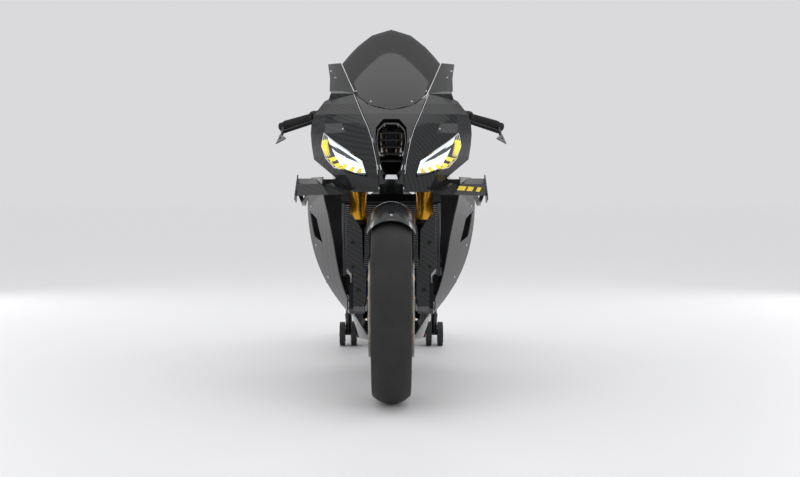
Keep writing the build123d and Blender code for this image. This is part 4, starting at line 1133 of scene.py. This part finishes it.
cap_parts = bmesh.new()
for place in ring_of(spot(0, CAP_BACK, 1002.2), 0.0295, 6, 0.2, (0, 0, 1)):
    add_bolt(cap_parts, place, (0, 0, 1), 0.0034, 0.0024)
finish_piece("cap_screws", cap_parts, steel, "root", "black_metal")
lock = bmesh.new()
add_drum(lock, spot(0, CAP_BACK, 1003), (0, 0, 1), 0.020, 0.004, 40, 0.0185)
add_block(lock, spot(0, CAP_BACK, 1006), (0.030, 0.007, 0.004))
finish_piece("cap_lock", lock, machined, "root", "black_metal", bevel=0.5)
dots = bmesh.new()
for i in range(9):
    for j in range(2):
        add_drum(dots, spot((i - 4) * 6.4, 1613, 986 + j * 6), (0, 1, 0), 0.0022, 0.0012, 10)
finish_piece("tail_lamp_dots", dots, glow("lit_red_lamp", "#E03028", 0.8), "root", "red_lens")

# %% [markdown]
# Screws in a ring hold both engine covers, with a raised disc and a boss in the middle, and knurled rings keep a boot
# on the foot pegs.

# %% Engine covers and pegs
COVER_Z = 330
ENGINE_COVERS = ((1, 520, 0.054, 8, 0.040), (-1, 620, 0.066, 10, 0.050))
PEG_ROOT, PEG_TIP = (190, 931, 403.5), (244, 936, 407.8)
KNURLS = 9

cover_parts = bmesh.new()
cover_rings = bmesh.new()
for side, y, ring, count, radius in ENGINE_COVERS:
    for place in ring_of(spot(side * 132.4, y, COVER_Z), ring, count):
        add_bolt(cover_parts, place, (side, 0, 0), 0.0048, 0.0036)
    add_drum(cover_rings, spot(side * 133, y, COVER_Z), (side, 0, 0), radius, 0.004, 48, radius - 0.003)
    add_drum(cover_rings, spot(side * 135.5, y, COVER_Z), (side, 0, 0), radius * 0.45, 0.004, 32, radius * 0.4)
finish_piece("cover_screws", cover_parts, steel, "root", "engine_metal")
finish_piece("cover_rings", cover_rings, black_alu, "root", "engine_metal", bevel=0.5)
knurl = bmesh.new()
for side in (1, -1):
    start, end = (spot(side * x, y, z) for x, y, z in (PEG_ROOT, PEG_TIP))
    for i in range(KNURLS):
        add_drum(knurl, start.lerp(end, i / (KNURLS - 1)), end - start, 0.0124, 0.0032, 14)
finish_piece("peg_knurls", knurl, machined, "root", "black_metal")

# %% [markdown]
# The mudguard ends 34 degrees ahead of the tyre's top, where the bare tyre starts. Its solid reaches further forward,
# so a merged copy is cut along a plane through the axle, closed again, and stands for it.

# %% Mudguard
GUARD_FRONT = math.radians(34)
guard = bmesh.new()
guard.from_mesh(frame["nodes"]["front_mudguard"].data)
bmesh.ops.remove_doubles(guard, verts=guard.verts, dist=1e-5)
across = Vector((0, -math.cos(GUARD_FRONT), -math.sin(GUARD_FRONT)))
bmesh.ops.bisect_plane(guard, geom=guard.verts[:] + guard.edges[:] + guard.faces[:], dist=1e-6,
                       plane_co=FRONT, plane_no=across, clear_outer=True)
bmesh.ops.holes_fill(guard, edges=[e for e in guard.edges if e.is_boundary], sides=0)
carbon_mudguard = finish_piece("carbon_mudguard", guard, carbon_front, "steering", "carbon_fibre", 35)
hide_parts("front_mudguard")

# %% [markdown]
# A gusset closes the cowl's shoulder on each side, between its front and the strip beside the screen. It follows the
# room that the hands and levers need at full lock, so it goes straight up first and then back.

# %% Cowl gussets
GUSSET_ROWS = ((112, 200, 171.0, 938), (114, 196, 170.8, 950), (117, 193, 171.0, 959), (119, 193, 184, 963.8),
               (121, 196, 196, 968.2))
COLUMNS = 8

gusset = bmesh.new()
for side in (1, -1):
    made = bmesh.ops.create_grid(gusset, x_segments=COLUMNS, y_segments=len(GUSSET_ROWS) - 1, size=0.5)
    for vert in made["verts"]:
        column = round((vert.co.x + 0.5) * COLUMNS)
        inner, outer, back_mm, z = GUSSET_ROWS[round((vert.co.y + 0.5) * (len(GUSSET_ROWS) - 1))]
        vert.co = spot(side * (inner + (outer - inner) * column / COLUMNS), back_mm, z)
bmesh.ops.recalc_face_normals(gusset, faces=gusset.faces)
bmesh.ops.solidify(gusset, geom=gusset.faces[:], thickness=0.0012)
finish_piece("cowl_gussets", gusset, carbon_front, "root", "carbon_fibre", 35)

# %% [markdown]
# Each brake duct has three round holes with a pressed ring, which let air to the fork. They lie flat on the duct's
# face, found by a ray from the front, and a dark disc in the ring stands for the bore.

# %% Brake duct holes
DUCT_HOLES = ((118, 492), (118, 418), (100, 352))

rings = bmesh.new()
bores = bmesh.new()
for side in (1, -1):
    for x, z in DUCT_HOLES:
        place, normal = seen_from_front(skins["brake_ducts"], side * x * MM, z * MM)
        if place is not None:
            add_drum(rings, place + normal * 0.0006, normal, 0.0082, 0.0016, 28, 0.0074)
            add_drum(bores, place + normal * 0.0016, normal, 0.0056, 0.0006)
finish_piece("duct_rings", rings, black_plastic_and_painted_shade, "steering", "carbon_fibre")
finish_piece("duct_bores", bores, plain("shadowed_bore", "#030303", 0.9, 1.0, 0.2), "steering", "carbon_fibre")

# %% [markdown]
# A bright line of painted highlight runs along both cowls beside the screen and the nose, where the panel's edge
# reflects the light. It is a thin bar from each point on the skin to the next, and it stops where the skin does.

# %% Cowl edge highlights
INNER_LINE = ((40, 700), (44, 739), (58, 806), (71, 846), (90, 889), (118, 958), (168, 1072))
HIGHLIGHT_IN_MM, HIGHLIGHT_R, LONGEST_RUN = 1.6, 0.0009, 0.03
POINTS_PER_RUN = 6

edge_highlight = bmesh.new()
for side in (1, -1):
    places = []
    for (x1, z1), (x2, z2) in zip(INNER_LINE, INNER_LINE[1:]):
        for i in range(POINTS_PER_RUN):
            x, z = x1 + (x2 - x1) * i / POINTS_PER_RUN, z1 + (z2 - z1) * i / POINTS_PER_RUN
            place, _ = seen_from_front(skins["side_cowls"], side * (x + HIGHLIGHT_IN_MM) * MM, z * MM)
            if place is not None:
                places.append(place)
    for a, b in zip(places, places[1:]):
        if (b - a).length < LONGEST_RUN:
            add_drum(edge_highlight, (a + b) / 2, b - a, HIGHLIGHT_R, (b - a).length, 6)
# The bars are a painted highlight, drawn in silver lacquer's colour.
finish_piece("cowl_edge_highlights", edge_highlight, silver_and_highlight_film, "root", "gloss_black")
